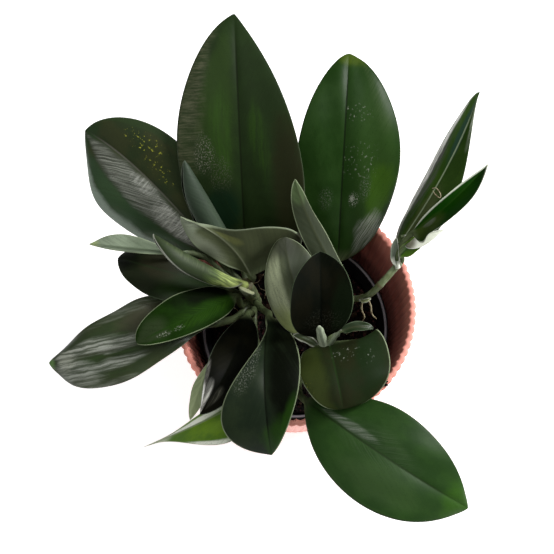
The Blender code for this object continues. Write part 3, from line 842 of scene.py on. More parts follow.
def leaf_finish(name, look, seed):
    """A leaf's finish, on its own blade coordinates.

    "blade" holds millimetres along the midrib, across from it, and in from the margin; "share" holds the
    shares along and across, and which side is up (1 for the upper, -1 for the underside). A vein starts at
    the midrib and leans towards the tip, so the places where along less VEIN_LEAN times across is the same
    make one vein.
    """
    f = Finish(name)
    along, across, inset = f.parts(f.attribute("blade"))
    u, side, upward = f.parts(f.attribute("share"))
    out = abs(across)
    vein = along - out * VEIN_LEAN
    streak = f.noise(f.vector(vein / 3.0, across / 30.0, seed), 1.0, 3.0, 0.55)
    cloud = f.noise(f.vector(along / 16.0, across / 12.0, seed + 9.0), 1.0, 3.0, 0.55)
    fine = f.noise(f.vector(along / 0.7, across / 0.7, seed), 1.0, 2.0)
    grains = {}
    for kind in sorted({patch.grain for patch in look.patches} - {"soft"}):
        first, second, low, high = GRAINS[kind]
        lengthwise = vein + cloud * 5.0 if kind == "veins" else along
        bend = cloud * 4.0 if kind == "along" else 0.0
        place = f.vector(lengthwise / first, (across + bend) / second, seed + 2.0)
        grains[kind] = f.noise(place, 1.0, 3.0, 0.6), low, high

    upper = f.mix(f.smooth(cloud, 0.38, 0.62), look.upper, look.mottle)
    under = f.mix(f.smooth(streak, 0.35, 0.65) * 0.4, look.under, [c * 0.6 for c in look.under])
    shown = upper if look.faces > 0 else under
    relief = streak * 0.35 + fine * 0.12 + cloud * 0.8
    wander = (cloud - 0.5) * 0.7
    # Patches: the leaf's own tones, and painted highlights, sheens and shade.
    for patch in look.patches:
        du = (u - patch.u) / patch.reach_u
        da = (side - patch.across) / patch.reach_across
        mask = 1 - f.smooth(f.maths("SQRT", du * du + da * da) + wander, 0.45, 1.0)
        if patch.grain != "soft":
            noise, low, high = grains[patch.grain]
            if patch.relief:
                relief = relief + mask * noise * patch.relief * 2.0
            broken = f.smooth(noise, low, high)
            mask = mask * (broken if patch.grain in ("specks", "grit") else broken * 0.85 + 0.15)
        shown = f.mix(mask * patch.strength, shown, patch.colour)
    rib = (1 - f.smooth(out, 0.25, 0.8)) * (1 - f.smooth(u, 0.75, 1.0))
    shown = f.mix(rib * 0.7, shown, look.rib)
    pale = f.smooth(streak * 0.6 + cloud * 0.4, 0.54, 0.70)
    shown = f.mix(pale * 0.16, shown, [c * 1.8 for c in look.upper])
    dark = f.smooth(fine * 0.6 + streak * 0.4, 0.5, 0.66)
    shown = f.mix(dark * 0.3, shown, [c * 0.45 for c in look.upper])
    facing = f.smooth(upward, -0.15, 0.15)
    colour = f.mix(facing, under, shown) if look.faces > 0 else f.mix(facing, shown, upper)

    blade_share = f.smooth(u, 0.01, 0.06)
    edge = (1 - f.smooth(inset, look.edge * 0.4, look.edge * 1.2)) * blade_share
    colour = f.mix(edge * 0.85, colour, look.margin)
    stalk = f.mix(f.smooth(streak, 0.35, 0.65), [c * 0.7 for c in look.stalk], [c * 1.3 for c in look.stalk])
    colour = f.mix(1 - f.smooth(u, 0.0, 0.07), colour, stalk)
    roughness = (cloud - 0.5) * 0.2 + look.gloss + (1 - facing) * 0.15
    return f.finish(colour, roughness, relief, 0.1, specular=look.sheen)


def stem_finish(name, seed):
    """Pale olive green, with brown scars round the nodes and fine lines along the stem."""
    f = Finish(name)
    along, round_it, node = f.parts(f.attribute("blade"))
    lines = f.noise(f.vector(along / 12.0, round_it / 0.8, seed), 1.0, 3.0)
    cloud = f.noise(f.vector(along / 6.0, round_it / 5.0, seed + 3.0), 1.0, 3.0)
    colour = f.mix(f.smooth(cloud, 0.35, 0.65), STEM_DARK, STEM_PALE)
    colour = f.mix(f.smooth(lines, 0.5, 0.75) * 0.6, colour, STEM_LINE)
    colour = f.mix(f.smooth(node, 0.55, 0.95) * 0.7, colour, STEM_SCAR)
    return f.finish(colour, 0.45 + cloud * 0.2, lines + cloud, 0.25, specular=0.4)


def root_finish(name):
    """Cream roots with browned patches, for the rootlets and the tendril too."""
    f = Finish(name)
    along, round_it, _ = f.parts(f.attribute("blade"))
    cloud = f.noise(f.vector(along / 2.5, round_it / 1.5, 2.0), 1.0, 3.0)
    colour = f.mix(f.smooth(cloud, 0.35, 0.7), ROOT_CREAM, ROOT_BROWN)
    return f.finish(colour, 0.7 + cloud * 0.2, cloud, 0.15, specular=0.3)


def coral_finish():
    """Coral moulded plastic: a faint orange peel, a little dust near the foot, and painted shade on the
    inside wall, darker below the lip.
    """
    f = Finish("coral_plastic")
    place = f.place()
    x, y, z = f.parts(place)
    cloud = f.noise(place, 35.0, 3.0)
    peel = f.noise(place, 900.0, 2.0)
    colour = f.mix(f.smooth(cloud, 0.3, 0.7), CORAL_DEEP, CORAL_PALE)
    dust = (1 - f.smooth(z, 0.0, 0.03)) * f.smooth(cloud, 0.4, 0.7)
    colour = f.mix(dust * 0.25, colour, CORAL_DUST)
    slope = (outer_radius(OUTER_HEIGHT) - OUTER_FOOT) / OUTER_HEIGHT
    wall = z * slope + (OUTER_FOOT - OUTER_WALL / 2) * MM
    inside = 1 - f.smooth(f.maths("SQRT", x * x + y * y) - wall, -MM, 0.0)
    # Painted shade: the inside wall darkens from just under the lip downwards, fully below a set depth.
    inner_shade = 1 - f.smooth(z, (OUTER_HEIGHT - INSIDE_SHADE_DEPTH) * MM, (OUTER_HEIGHT - 1) * MM)
    colour = f.mix(inside * inner_shade * 0.66, colour, CORAL_SHADE)
    return f.finish(colour, 0.42 + cloud * 0.14, peel + cloud, 0.05, specular=0.4)


def black_finish():
    """Thin black plastic: a painted grey highlight along the top of the lip, and traces of soil on the wall.
    """
    f = Finish("black_plastic")
    place = f.place()
    x, y, z = f.parts(place)
    cloud = f.noise(place, 60.0, 4.0, 0.6)
    stretched = f.node("ShaderNodeMapping", None, {"Vector": place, "Scale": (40, 40, 900)})
    scratch = f.noise(stretched, 1.0, 2.0)
    colour = f.mix(f.smooth(cloud, 0.3, 0.7), BLACK_DEEP, BLACK_WORN)
    # Painted highlight: a thin grey ring along the top of the lip, a little inside its outer edge.
    back = y - NURSERY_CENTRE[1] * MM
    rim = abs(f.maths("SQRT", x * x + back * back) - (NURSERY_RIM - NURSERY_HIGHLIGHT_INSET) * MM)
    high = f.smooth(z, (NURSERY_HIGH[2] - 0.4) * MM, (NURSERY_HIGH[2] - 0.1) * MM)
    lip = high * (1 - f.smooth(rim, 0.3 * MM, 0.9 * MM))
    colour = f.mix(lip * (0.35 + cloud * 0.8), colour, LIP_HIGHLIGHT)
    dirt = f.smooth(cloud, 0.55, 0.75) * 0.5
    colour = f.mix(dirt, colour, SOIL_TRACE)
    return f.finish(colour, 0.36 + cloud * 0.25, scratch * 0.6 + cloud, 0.08, specular=0.25)


def soil_finish(name):
    """Moist potting soil, a crumb of it, or bark: dark and light lumps, with small reddish specks."""
    dark, light, red = SOILS[name]
    f = Finish(name)
    place = f.place()
    lump = f.noise(place, 160.0, 5.0, 0.65)
    crumb = f.noise(place, 620.0, 3.0, 0.6)
    patch = f.noise(place, 260.0, 2.0)
    colour = f.mix(f.smooth(lump, 0.35, 0.7), dark, light)
    colour = f.mix(f.smooth(crumb * patch, 0.28, 0.38), colour, red)
    return f.finish(colour, 0.75 + lump * 0.2, lump + crumb * 0.6, 1.2, specular=0.12)


def floor_finish():
    """A plain pale studio floor with a glow of its own, like a light table."""
    f = Finish("studio_floor")
    cloud = f.noise(f.place(), 3.0, 2.0)
    colour = f.mix(cloud, FLOOR_DULL, FLOOR_PALE)
    f.feed(f.shader.inputs["Emission Color"], colour)
    f.shader.inputs["Emission Strength"].default_value = FLOOR_GLOW
    return f.finish(colour, 0.8 + cloud * 0.1, cloud, 0.01, specular=0.2)


# ---------------------------------------------------------------- meshes


def put_in_scene(name, data):
    """Make an object of a mesh, a light or a camera, and put it into the scene."""
    made = bpy.data.objects.new(name, data)
    bpy.context.scene.collection.objects.link(made)
    return made


def show(name, mesh, material, replaces=()):
    """Make an object of a mesh, let it ride on the body, and hide the parts that it replaces."""
    mesh.materials.append(material)
    mesh.shade_smooth()
    made = put_in_scene(name, mesh)
    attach(made, BODY)
    if replaces:
        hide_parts(*replaces)
    return made


def store(mesh, name, vectors):
    """Keep a vector for each vertex, for the finish to read."""
    made = mesh.attributes.new(name, "FLOAT_VECTOR", "POINT")
    made.data.foreach_set("vector", np.asarray(vectors, np.float32).ravel())


def ring_faces(rows, ring):
    """Faces over a row of closed rings: quads between them, and a fan from each end ring to a point.

    Points are counted ring by ring, then the foot's point, then the tip's.
    """
    first = np.arange(rows * ring).reshape(rows, ring)
    after = np.roll(first, -1, axis=1)
    quads = np.stack([first[:-1], after[:-1], after[1:], first[1:]], axis=-1).reshape(-1, 4)
    foot_fan = np.stack([after[0], first[0], np.full(ring, rows * ring)], axis=-1)
    tip_fan = np.stack([first[-1], after[-1], np.full(ring, rows * ring + 1)], axis=-1)
    return quads, foot_fan, tip_fan


def skin(name, rings, foot, tip, notes=None):
    """A closed surface over a row of closed rings, with a fan to a point at each end.

    Seen from the tip, each ring goes round anticlockwise, so that the faces look outwards. `notes` holds
    named vectors for each ring point, and the two end points take the mean of their nearest ring's.
    """
    quads, foot_fan, tip_fan = ring_faces(*rings.shape[:2])
    points = np.vstack([rings.reshape(-1, 3), foot, tip]) * MM
    mesh = bpy.data.meshes.new(name)
    mesh.from_pydata(points.tolist(), [], quads.tolist() + foot_fan.tolist() + tip_fan.tolist())
    for key, vectors in (notes or {}).items():
        ends = vectors[0].mean(axis=0), vectors[-1].mean(axis=0)
        store(mesh, key, np.vstack([vectors.reshape(-1, 3), *ends]))
    return mesh


def unit(vectors):
    return vectors / np.linalg.norm(vectors, axis=-1, keepdims=True)


def swing(x):
    """Smoothstep: 0 up to 0, 1 from 1 on, and 3x squared less 2x cubed between."""
    x = np.clip(x, 0, 1)
    return x * x * (3 - 2 * x)


def smooth_path(points, samples):
    """Points along a smooth curve through the given ones (Catmull-Rom)."""
    knots = [np.array(p, float) for p in points]
    knots = [2 * knots[0] - knots[1]] + knots + [2 * knots[-1] - knots[-2]]
    t = np.arange(samples)[:, None] / samples
    path = []
    for a, b, c, d in zip(knots, knots[1:], knots[2:], knots[3:]):
        square = (2 * a - 5 * b + 4 * c - d) * t**2
        cube = (3 * b - a - 3 * c + d) * t**3
        path.append(0.5 * (2 * b + (c - a) * t + square + cube))
    return np.vstack(path + [knots[-2]])


def petiole_root(leaf):
    """Where a petiole starts, just clear of its stem, and the direction in which it leaves.

    A bract has no petiole: it starts a little below its base.
    """
    if leaf.stem is None:
        base, mid = np.array(leaf.base, float), np.array(leaf.mid, float)
        return base - unit(mid - base) * BRACT_FOOT, unit(mid - base)
    stem = STEMS[leaf.stem]
    path = smooth_path(stem["points"], PATH_SAMPLES)
    if leaf.height is None:
        out = unit(path[-1] - path[-2])
        return path[-1] + out * GAP, out
    here = min(int(np.argmin(np.abs(path[:, 2] - leaf.height))), len(path) - 2)
    stem_way = unit(path[here + 1] - path[here])
    out = np.array(leaf.base, float) - path[here]
    out = unit(out - out @ stem_way * stem_way)
    return path[here] + out * (stem["radius"] + GAP), out


def half_profile(u, shape):
    """Share of the greatest half width: a power of the way from the base times one of the way to the tip."""
    rise, fall = shape
    peak = rise / (rise + fall)
    return u**rise * (1 - u) ** fall / (peak**rise * (1 - peak) ** fall)


def section_shares():
    """Shares across the blade round one section: left margin, over the top, right margin and back below."""
    t = np.linspace(0, 1, HALF_POINTS + 1)
    half = SECTION_EASE * (1 - np.cos(math.pi * t)) / 2 + (1 - SECTION_EASE) * t
    top = np.concatenate([-half[::-1], half[1:]])
    across = np.concatenate([top, top[-2:0:-1]])
    upper = np.concatenate([np.ones(len(top)), -np.ones(len(top) - 2)])
    upper[[0, len(top) - 1]] = 0.0
    return across, upper


def per_half(right, pair):
    """The pair's second value on the right half, and its first on the left."""
    return np.where(right, pair[1], pair[0])


def leaf_surface(leaf, seed):
    """A leaf's rings, from its petiole's foot to its tip, and the blade coordinates of every point.

    The centre line is a cubic petiole and then a quadratic midrib. A section goes sideways along an arc that
    turns from the fold to fold + curl, so its offsets are differences of sines and cosines over the curl. The
    surface is then lifted along its normal: an ellipse for its thickness, plus the relief: a groove along the
    midrib, a keel under it, ripples along the veins, long swells, and a wave that grows towards the margin.
    """
    root, out = petiole_root(leaf)
    base, mid, tip = (np.array(p, float) for p in (leaf.base, leaf.mid, leaf.tip))
    knee = 2 * mid - 0.5 * (base + tip)
    reach = np.linalg.norm(base - root) * PETIOLE_REACH
    leave = root + out * reach
    arrive = base - unit(knee - base) * reach

    t = np.linspace(0, 1, PETIOLE_SECTIONS, endpoint=False)[:, None]
    petiole = (1 - t) ** 3 * root + 3 * (1 - t) ** 2 * t * leave + 3 * (1 - t) * t**2 * arrive + t**3 * base
    petiole_way = (1 - t) ** 2 * (leave - root) + 2 * (1 - t) * t * (arrive - leave) + t**2 * (base - arrive)
    even = np.linspace(0, 1, BLADE_SECTIONS + 1)
    u = STATION_EASE * (1 - np.cos(even * math.pi)) / 2 + (1 - STATION_EASE) * even
    s = u[:, None]
    blade = (1 - s) ** 2 * base + 2 * (1 - s) * s * knee + s**2 * tip
    blade_way = (1 - s) * (knee - base) + s * (tip - knee)

    centre = np.vstack([petiole, blade])
    along = unit(np.vstack([petiole_way, blade_way]))
    u = np.concatenate([np.zeros(PETIOLE_SECTIONS), u])
    face_foot = unit(np.array(leaf.face, float))
    face_tip = unit(np.array(leaf.face_tip or leaf.face, float))
    face = face_foot * (1 - u[:, None]) + face_tip * u[:, None]
    up = unit(face - np.sum(along * face, axis=1, keepdims=True) * along)
    side = np.cross(along, up)
    length = np.concatenate([[0], np.cumsum(np.linalg.norm(np.diff(centre, axis=0), axis=1))])
    length -= length[PETIOLE_SECTIONS]

    neck = leaf.petiole * (1 - swing(u / NECK))
    widths = [
        (((size * half_profile(u, shape)) ** 4 + neck**4) ** 0.25)[:, None]
        for size, shape in zip(leaf.widths, (leaf.shape_left, leaf.shape_right))
    ]
    thick = BLADE_HALF_THICK + (leaf.petiole - BLADE_HALF_THICK) * (1 - swing(u / THICK_FADE)) ** 2
    bending = swing(u / FOLD_START)[:, None]

    across, upper = section_shares()
    right = across >= 0
    sign = np.sign(across)
    share = np.abs(across)
    width = per_half(right, widths)
    fold = np.radians(per_half(right, leaf.fold)) * bending
    curl = np.radians(per_half(right, leaf.curl)) * bending
    curl = np.where(np.abs(curl) < LEAST_CURL, LEAST_CURL, curl)
    angle = fold + curl * share
    sideways = width * (np.sin(angle) - np.sin(fold)) / curl
    upwards = width * (np.cos(fold) - np.cos(angle)) / curl
    across_mm = width * across

    blade_share = swing(u / RELIEF_START)[:, None] * swing((1 - u) / RELIEF_END)[:, None]
    rng = np.random.default_rng(seed)
    phase = rng.uniform(0, math.tau, 6)
    groove = -GROOVE_DEPTH * np.exp(-((across_mm / GROOVE_WIDTH) ** 2)) * blade_share
    keel = np.where(upper < 0, KEEL_DEPTH, 0.0) * np.exp(-((across_mm / KEEL_WIDTH) ** 2))
    keel = keel * blade_share * (1 - u[:, None])
    vein = length[:, None] - np.abs(across_mm) * VEIN_LEAN
    wander = VEIN_WANDER * np.sin(vein / VEIN_WANDER_LENGTH + phase[0])
    beat = np.sin(vein * math.tau / VEIN_SPACING + wander)
    ripple = leaf.pucker * beat * share * (1 - share) * 4
    wave = math.tau * leaf.waves * u[:, None]
    waving = per_half(right, (np.sin(wave * WAVE_MISMATCH + phase[2]), np.sin(wave + phase[1])))
    margin = waving * share**MARGIN_POWER * leaf.ruffle
    swelling = np.sin(length[:, None] / SWELL_ALONG + across_mm / SWELL_ACROSS + phase[3])
    swell = leaf.swell * swelling * share * (1 - share) * 4
    relief = groove + (ripple + margin + swell) * blade_share

    bulge = np.sqrt(np.clip(1 - across**2, 0, 1)) * upper
    lift = bulge * thick[:, None] + relief - keel
    x = sign * sideways - sign * np.sin(angle) * lift
    y = upwards + np.where(sign == 0, 1.0, np.cos(angle)) * lift
    back = per_half(right, leaf.lobes) * across**2 * (1 - u[:, None]) ** LOBE_FADE * bending
    rings = centre[:, None] + x[..., None] * side[:, None] + y[..., None] * up[:, None]
    rings = rings - back[..., None] * along[:, None]

    full = np.ones_like(rings[..., 0])
    inset = width * (1 - share)
    notes = {
        "blade": np.stack([length[:, None] * full, across_mm, inset * full], axis=-1),
        "share": np.stack([u[:, None] * full, across * full, upper * full], axis=-1),
    }
    return rings, root, notes


def build_leaf(name, leaf, look, seed, replaces=()):
    """A leaf or a bract. Its last ring has no width, so the tip's point stands in for it."""
    rings, root, notes = leaf_surface(leaf, seed)
    notes = {key: vectors[:-1] for key, vectors in notes.items()}
    mesh = skin(name, rings[:-1], root, leaf.tip, notes)
    return show(name, mesh, leaf_finish(name, look, seed), replaces)


def tube_rings(path, radii, sides):
    """Circles square to a path, and the angle of each of their points."""
    way = unit(np.gradient(path, axis=0))
    level = np.array([0.0, 0.0, 1.0]) if abs(way[:, 2]).max() < 0.9 else np.array([1.0, 0.0, 0.0])
    first = unit(np.cross(way, level))
    second = np.cross(way, first)
    turn = -math.tau * np.arange(sides) / sides
    circle = np.cos(turn)[:, None] * first[:, None] - np.sin(turn)[:, None] * second[:, None]
    return path[:, None] + circle * radii[:, None, None], turn


def build_tube(name, points, radius, finish, slot, samples=16, sides=24, nodes=(), taper=0.0, replaces=()):
    """A stem or root: its radius swells at each node, as a bell over the length, and tapers to its end."""
    path = smooth_path(points, samples)
    length = np.concatenate([[0], np.cumsum(np.linalg.norm(np.diff(path, axis=0), axis=1))])
    swelling = np.zeros(len(path))
    for place in nodes:
        swelling += np.exp(-(((length - place * length[-1]) / NODE_LENGTH) ** 2))
    radii = radius * (1 + NODE_SWELLING * swelling) * (1 - taper * (length / length[-1]) ** 2)
    rings, turn = tube_rings(path, radii, sides)
    full = np.ones(rings.shape[:2])
    blade = np.stack([length[:, None] * full, -turn * radius * full, swelling[:, None] * full], axis=-1)
    mesh = skin(name, rings, path[0], path[-1], {"blade": blade})
    return show(name, mesh, finish, replaces)


def profile_rings(profile, steps, shift=None):
    """Circles of a turned shape, one for each (radius, height), moved out by shift(turn, radius, height)."""
    profile = np.array(profile, float)
    turn = math.tau * np.arange(steps) / steps
    radius = profile[:, :1] * np.ones(steps)
    height = profile[:, 1:] * np.ones(steps)
    if shift is not None:
        radius = radius + shift(turn[None], radius, height)
    return np.stack([radius * np.cos(turn), radius * np.sin(turn), height], axis=-1)


def finer(profile, longest):
    """The same outline with a point at least every so many millimetres."""
    made = [profile[0]]
    for a, b in zip(profile, profile[1:]):
        parts = max(1, math.ceil(math.dist(a, b) / longest))
        made += [tuple(np.array(a) + (np.array(b) - np.array(a)) * k / parts) for k in range(1, parts + 1)]
    return made


def rounded(centre, radius, start, end, steps):
    """Points along an arc about a centre, from one angle to another in degrees."""
    angles = np.radians(np.linspace(start, end, steps))
    return [(centre[0] + radius * math.cos(a), centre[1] + radius * math.sin(a)) for a in angles]


# ---------------------------------------------------------------- pots


def outer_radius(height):
    """Radius of the outer pot's outside, midway between the crests and the valleys of its flutes."""
    middle = OUTER_RIM - FLUTE_DEPTH / 2
    return OUTER_FOOT + (middle - OUTER_FOOT) * height / OUTER_HEIGHT


def flute(turn, radius, height):
    """Scallops: the size of a cosine of half the flutes' angle, to a power. The inside floor has none."""
    wave = np.abs(np.cos(FLUTES * turn / 2)) ** FLUTE_POWER - 0.5
    floor_edge = outer_radius(OUTER_FLOOR) - OUTER_WALL + FLOOR_MARGIN
    inside_floor = (height < OUTER_FLOOR + FLOOR_MARGIN) & (radius < floor_edge)
    fade = swing((height - FLUTE_START) / FLUTE_FADE)
    return np.where(inside_floor, 0.0, FLUTE_DEPTH * wave * fade)


def build_outer_pot():
    """The coral pot: an outline turned about Z, with scallops all the way up its wall, inside and outside."""
    top = OUTER_HEIGHT
    lip = OUTER_LIP_ROUND
    foot = OUTER_FOOT_ROUND
    outer = outer_radius(top)
    inner = outer - OUTER_WALL
    fillet = OUTER_FLOOR + OUTER_FILLET_HIGH
    outline = [(OUTER_CORE, 0.0), (OUTER_FOOT - OUTER_FOOT_INSET, 0.0)]
    outline += rounded((OUTER_FOOT - foot, foot), foot, -90, 0, 5)
    outline += [(outer_radius(top - lip), top - lip)]
    outline += rounded((outer - lip, top - lip), lip, 0, 90, 6)[1:]
    outline += rounded((inner + lip, top - lip), lip, 90, 180, 6)
    outline += [(outer_radius(fillet) - OUTER_WALL, fillet)]
    outline += [(outer_radius(OUTER_FLOOR) - OUTER_WALL - OUTER_FILLET_WIDE, OUTER_FLOOR)]
    outline += [(OUTER_CORE, OUTER_FLOOR)]
    rings = profile_rings(finer(outline, OUTER_LONGEST_STEP), FLUTES * FLUTE_STEPS, flute)
    mesh = skin("outer_pot_fluted", rings, (0, 0, 0), (0, 0, OUTER_FLOOR))
    return show("outer_pot_fluted", mesh, coral_finish(), ("outer_pot",))


def cut_drain_holes(pot):
    """Bore the drain holes: a ring of upright cylinders, evenly spaced, taken away from the pot's floor."""
    bores = bmesh.new()
    foot = Vector((0, NURSERY_CENTRE[1], NURSERY_LOW[2]))
    for turn in math.tau * np.arange(DRAIN_HOLES) / DRAIN_HOLES:
        centre = Vector((math.cos(turn), math.sin(turn), 0)) * DRAIN_RING + foot
        bmesh.ops.create_cone(
            bores,
            cap_ends=True,
            segments=DRAIN_SIDES,
            radius1=DRAIN_RADIUS * MM,
            radius2=DRAIN_RADIUS * MM,
            depth=DRAIN_DEPTH * MM,
            matrix=Matrix.Translation(centre * MM),
        )
    mesh = bpy.data.meshes.new("drain_bores")
    bores.to_mesh(mesh)
    bores.free()
    cutter = put_in_scene("drain_bores", mesh)
    cut = pot.modifiers.new("drain", "BOOLEAN")
    cut.operation = "DIFFERENCE"
    cut.solver = "EXACT"
    cut.object = cutter
    bpy.context.view_layer.update()
    finished = bpy.data.meshes.new_from_object(pot.evaluated_get(bpy.context.evaluated_depsgraph_get()))
    pot.modifiers.clear()
    pot.data = finished
    bpy.data.objects.remove(cutter, do_unlink=True)


def build_nursery_pot():
    """The black pot: a thin turned wall with a rolled bead under its lip."""
    top = NURSERY_HIGH[2]
    foot = NURSERY_LOW[2]
    wall = NURSERY_WALL
    lip = NURSERY_LIP_ROUND
    bead = top - NURSERY_BEAD
    corner = NURSERY_FOOT - NURSERY_FOOT_ROUND
    shoulder = NURSERY_RIM - NURSERY_SHOULDER
    outline = [(NURSERY_CORE, foot), (corner, foot)]
    outline += rounded((corner, foot + NURSERY_FOOT_ROUND), NURSERY_FOOT_ROUND, -90, 0, 4)
    outline += [(shoulder, bead), (NURSERY_RIM - BEAD_CHAMFER_WIDE, bead)]
    outline += [(NURSERY_RIM, bead + BEAD_CHAMFER_HIGH), (NURSERY_RIM, top - lip)]
    outline += rounded((NURSERY_RIM - lip, top - lip), lip, 0, 90, 5)[1:]
    outline += rounded((shoulder - wall + lip, top - lip), lip, 90, 180, 5)
    outline += [(NURSERY_FOOT - wall, foot + wall), (NURSERY_CORE, foot + wall)]
    rings = profile_rings(finer(outline, NURSERY_LONGEST_STEP), NURSERY_STEPS) + [0, NURSERY_CENTRE[1], 0]
    middle = np.array([0, NURSERY_CENTRE[1], foot])
    mesh = skin("nursery_pot_fine", rings, middle, middle + [0, 0, wall])
    pot = show("nursery_pot_fine", mesh, black_finish(), ("nursery_pot",))
    cut_drain_holes(pot)


# ---------------------------------------------------------------- soil


def lumps(x, y):
    """Uneven ground: a few waves of different lengths and directions added up."""
    rng = np.random.default_rng(GROUND_SEED)
    height = np.zeros_like(x)
    for length, size in GROUND_WAVES:
        for _ in range(WAVES_OF_A_LENGTH):
            way = rng.uniform(0, math.tau)
            phase = rng.uniform(0, math.tau)
            slope = (x * math.cos(way) + y * math.sin(way)) * math.tau / length
            height += size * np.sin(slope + phase) / GROUND_CALM
    return height


def build_soil():
    """The root ball: a disc of uneven ground over a plain tapered side."""
    foot = NURSERY_FOOT - NURSERY_WALL - 2 * GAP
    low = SOIL_LOW[2]
    outline = [(SOIL_CORE, low), (foot, low), (SOIL_RIM, SOIL_TOP - SOIL_EDGE)]
    outline += [(SOIL_RIM - 0.1, SOIL_TOP - SOIL_EDGE / 2)]
    outline += [(r, SOIL_TOP) for r in np.linspace(0.7, SOIL_RIM - 0.8, SOIL_CIRCLES)[::-1]]
    rings = profile_rings(outline, SOIL_STEPS)
    x, y, z = rings[..., 0], rings[..., 1], rings[..., 2]
    ground = lumps(x, y) - SOIL_SINK
    z += np.where(z > SOIL_TOP - 0.1, ground, 0.0)
    rings += [0, NURSERY_CENTRE[1], 0]
    centre = np.array([0, NURSERY_CENTRE[1], low])
    mesh = skin("soil_surface", rings, centre, rings[-1].mean(axis=0))
    return show("soil_surface", mesh, soil_finish("potting_soil"), ("soil",))


def grain_mesh(name, centres, sizes, seed):
    """Many small crumbs in one mesh: each is a ball of a few rings, with uneven radii and stretch."""
    rng = np.random.default_rng(seed)
    count = len(centres)
    turn = math.tau * np.arange(GRAIN_SIDES) / GRAIN_SIDES
    tilt = np.radians(GRAIN_RINGS)[:, None]
    rings = [np.cos(tilt) * np.cos(turn), np.cos(tilt) * np.sin(turn), np.sin(tilt) * np.ones(GRAIN_SIDES)]
    ball = np.vstack([np.stack(rings, axis=-1).reshape(-1, 3), [0, 0, -1], [0, 0, 1]])
    stretch = rng.uniform(0.55, 1.3, (count, 1, 3))
    uneven = rng.uniform(0.75, 1.2, (count, len(ball), 1))
    spin = np.linalg.qr(rng.normal(size=(count, 3, 3)))[0]
    spin[np.linalg.det(spin) < 0, :, 0] *= -1
    points = np.einsum("nij,nkj->nki", spin, ball[None] * stretch * uneven) * sizes[:, None, None]
    points = points + centres[:, None]
    quads, low, high = ring_faces(len(GRAIN_RINGS), GRAIN_SIDES)
    faces = np.vstack([quads[:, [0, 1, 2]], quads[:, [0, 2, 3]], low, high])
    faces = (faces[None] + (np.arange(count) * len(ball))[:, None, None]).reshape(-1, 3)
    mesh = bpy.data.meshes.new(name)
    mesh.from_pydata((points.reshape(-1, 3) * MM).tolist(), [], faces.tolist())
    return mesh


def scatter(count, seed, margin=2.0):
    """Random places on the soil, even over its disc."""
    rng = np.random.default_rng(seed)
    radius = (SOIL_RIM - margin) * np.sqrt(rng.uniform(0, 1, count))
    turn = rng.uniform(0, math.tau, count)
    x = radius * np.cos(turn)
    y = radius * np.sin(turn)
    z = SOIL_TOP + lumps(x, y) - SOIL_SINK
    return np.stack([x, y + NURSERY_CENTRE[1], z], axis=-1)


def build_crumbs():
    """Loose crumbs of soil and bark, and a few on the outer pot's lip."""
    rng = np.random.default_rng(11)
    crumb = soil_finish("soil_crumb")
    bark = soil_finish("bark_chip")
    sizes = rng.uniform(0.5, 1.5, CRUMBS) ** 1.3
    mesh = grain_mesh("soil_crumbs", scatter(CRUMBS, seed=12), sizes, seed=13)
    show("soil_crumbs", mesh, crumb)
    sizes = rng.uniform(1.2, 2.6, BARK_CHIPS)
    mesh = grain_mesh("bark_chips", scatter(BARK_CHIPS, seed=22), sizes, seed=23)
    show("bark_chips", mesh, bark)
    lip = np.array([*LIP_CRUMB_PLACE, OUTER_HEIGHT])
    lip[:2] *= (OUTER_RIM - LIP_CRUMB_INSET) / math.hypot(*LIP_CRUMB_PLACE)
    places = lip + (rng.normal(size=(LIP_CRUMBS, 3)) * [1.1, 1.1, 0.5] + [0, 0, 0.9])
    sizes = rng.uniform(0.7, 1.3, LIP_CRUMBS)
    show("lip_crumb", grain_mesh("lip_crumb", places, sizes, seed=25), crumb)


def build_rootlets():
    """Thin pale rootlets that wander over the soil."""
    rng = np.random.default_rng(31)
    finish = root_finish("rootlet")
    for number, start in enumerate(scatter(ROOTLETS, seed=32, margin=ROOTLET_MARGIN), 1):
        heading = rng.uniform(0, math.tau)
        points = [start + [0, 0, SOIL_SINK]]
        for _ in range(ROOTLET_STEPS):
            heading += rng.normal() * 0.7
            step = np.array([math.cos(heading), math.sin(heading), 0.0]) * rng.uniform(2.0, 3.6)
            points.append(points[-1] + step + [0, 0, rng.uniform(-0.4, 0.5)])
        options = dict(samples=5, sides=8, taper=0.6)
        build_tube(f"rootlet_{number:02d}", points, ROOTLET_RADIUS, finish, "root_pale", **options)


# ---------------------------------------------------------------- stems


def build_stems():
    """The three stems, each from a little below the soil, and the aerial roots of the side stem."""
    for number, (name, stem) in enumerate(STEMS.items()):
        foot_x, foot_y, _ = stem["points"][0]
        points = ((foot_x, foot_y, SOIL_TOP - STEM_SUNK), *stem["points"])
        finish = stem_finish(name, STEM_SEED + number)
        options = dict(nodes=stem["nodes"], replaces=(name,))
        build_tube(f"{name}_fine", points, stem["radius"], finish, "stem_green", **options)
    for name, root in AERIAL_ROOTS.items():
        finish = root_finish(name)
        options = dict(samples=8, sides=12, taper=0.5, replaces=(name,))
        build_tube(f"{name}_fine", root["points"], root["radius"], finish, "root_pale", **options)


def build_tendril():
    """A thin pale loop between the two leaves of the branch."""
    finish = root_finish("tendril")
    build_tube("branch_tendril", TENDRIL, TENDRIL_RADIUS, finish, "root_pale", samples=8, sides=10)


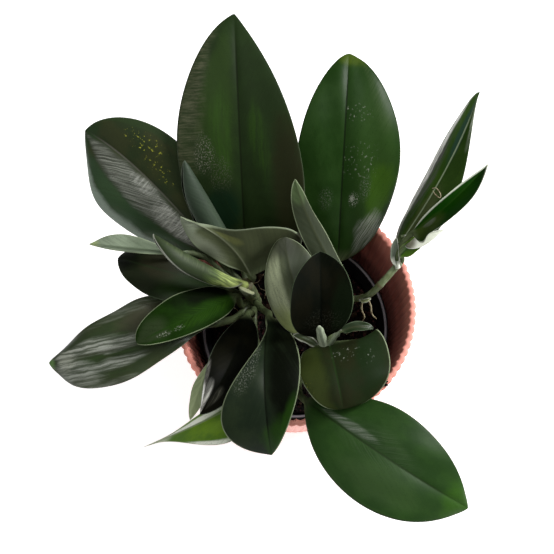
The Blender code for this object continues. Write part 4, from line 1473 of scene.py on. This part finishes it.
# ---------------------------------------------------------------- studio


def build_floor():
    """One large square under the pot."""
    mesh = bpy.data.meshes.new("studio_floor")
    reach = FLOOR_REACH
    corners = [(-reach, -reach, 0), (reach, -reach, 0), (reach, reach, 0), (-reach, reach, 0)]
    mesh.from_pydata(corners, [], [(0, 1, 2, 3)])
    mesh.materials.append(floor_finish())
    put_in_scene("studio_floor", mesh)


def build_light(name, place, size, power, glossy):
    """A square soft light. One that isn't glossy lights the shapes and leaves no sheen on them."""
    light = bpy.data.lights.new(name, "AREA")
    light.size = size
    light.energy = power
    made = put_in_scene(name, light)
    made.location = place
    made.rotation_euler = (Vector(LIGHT_AIM) - Vector(place)).to_track_quat("-Z", "Y").to_euler()
    made.visible_glossy = glossy


def build_studio():
    """A key light from the right, soft fills that leave no sheen, and a weak even surround."""
    world = bpy.data.worlds.new("studio")
    world.use_nodes = True
    back = world.node_tree.nodes["Background"]
    back.inputs["Color"].default_value = (1, 1, 1, 1)
    back.inputs["Strength"].default_value = SURROUND
    bpy.context.scene.world = world
    for name, light in LIGHTS.items():
        build_light(name, **light)
    bpy.context.scene.view_settings.view_transform = "Standard"


def build_camera():
    """The view looks down at 72 degrees, from the front."""
    camera = bpy.data.cameras.new("camera")
    camera.lens = CAMERA_LENS
    camera.sensor_width = CAMERA_SENSOR
    made = put_in_scene("camera", camera)
    tilt = math.radians(CAMERA_TILT)
    away = np.array([0, -math.sin(tilt), math.cos(tilt)])
    made.location = (np.array(CAMERA_TARGET) + CAMERA_DISTANCE * away) * MM
    made.rotation_euler = (tilt, 0, 0)
    bpy.context.scene.camera = made


build_camera()
build_studio()
build_floor()
build_outer_pot()
build_nursery_pot()
build_soil()
build_crumbs()
build_rootlets()
build_stems()
build_tendril()
for number, (name, leaf) in enumerate(LEAVES.items(), 1):
    build_leaf(f"{name}_fine", leaf, LOOKS[name], number, (name,))
for number, (name, leaf) in enumerate(BRACTS.items(), len(LEAVES) + 1):
    build_leaf(name, leaf, BRACT_LOOKS[name], number)
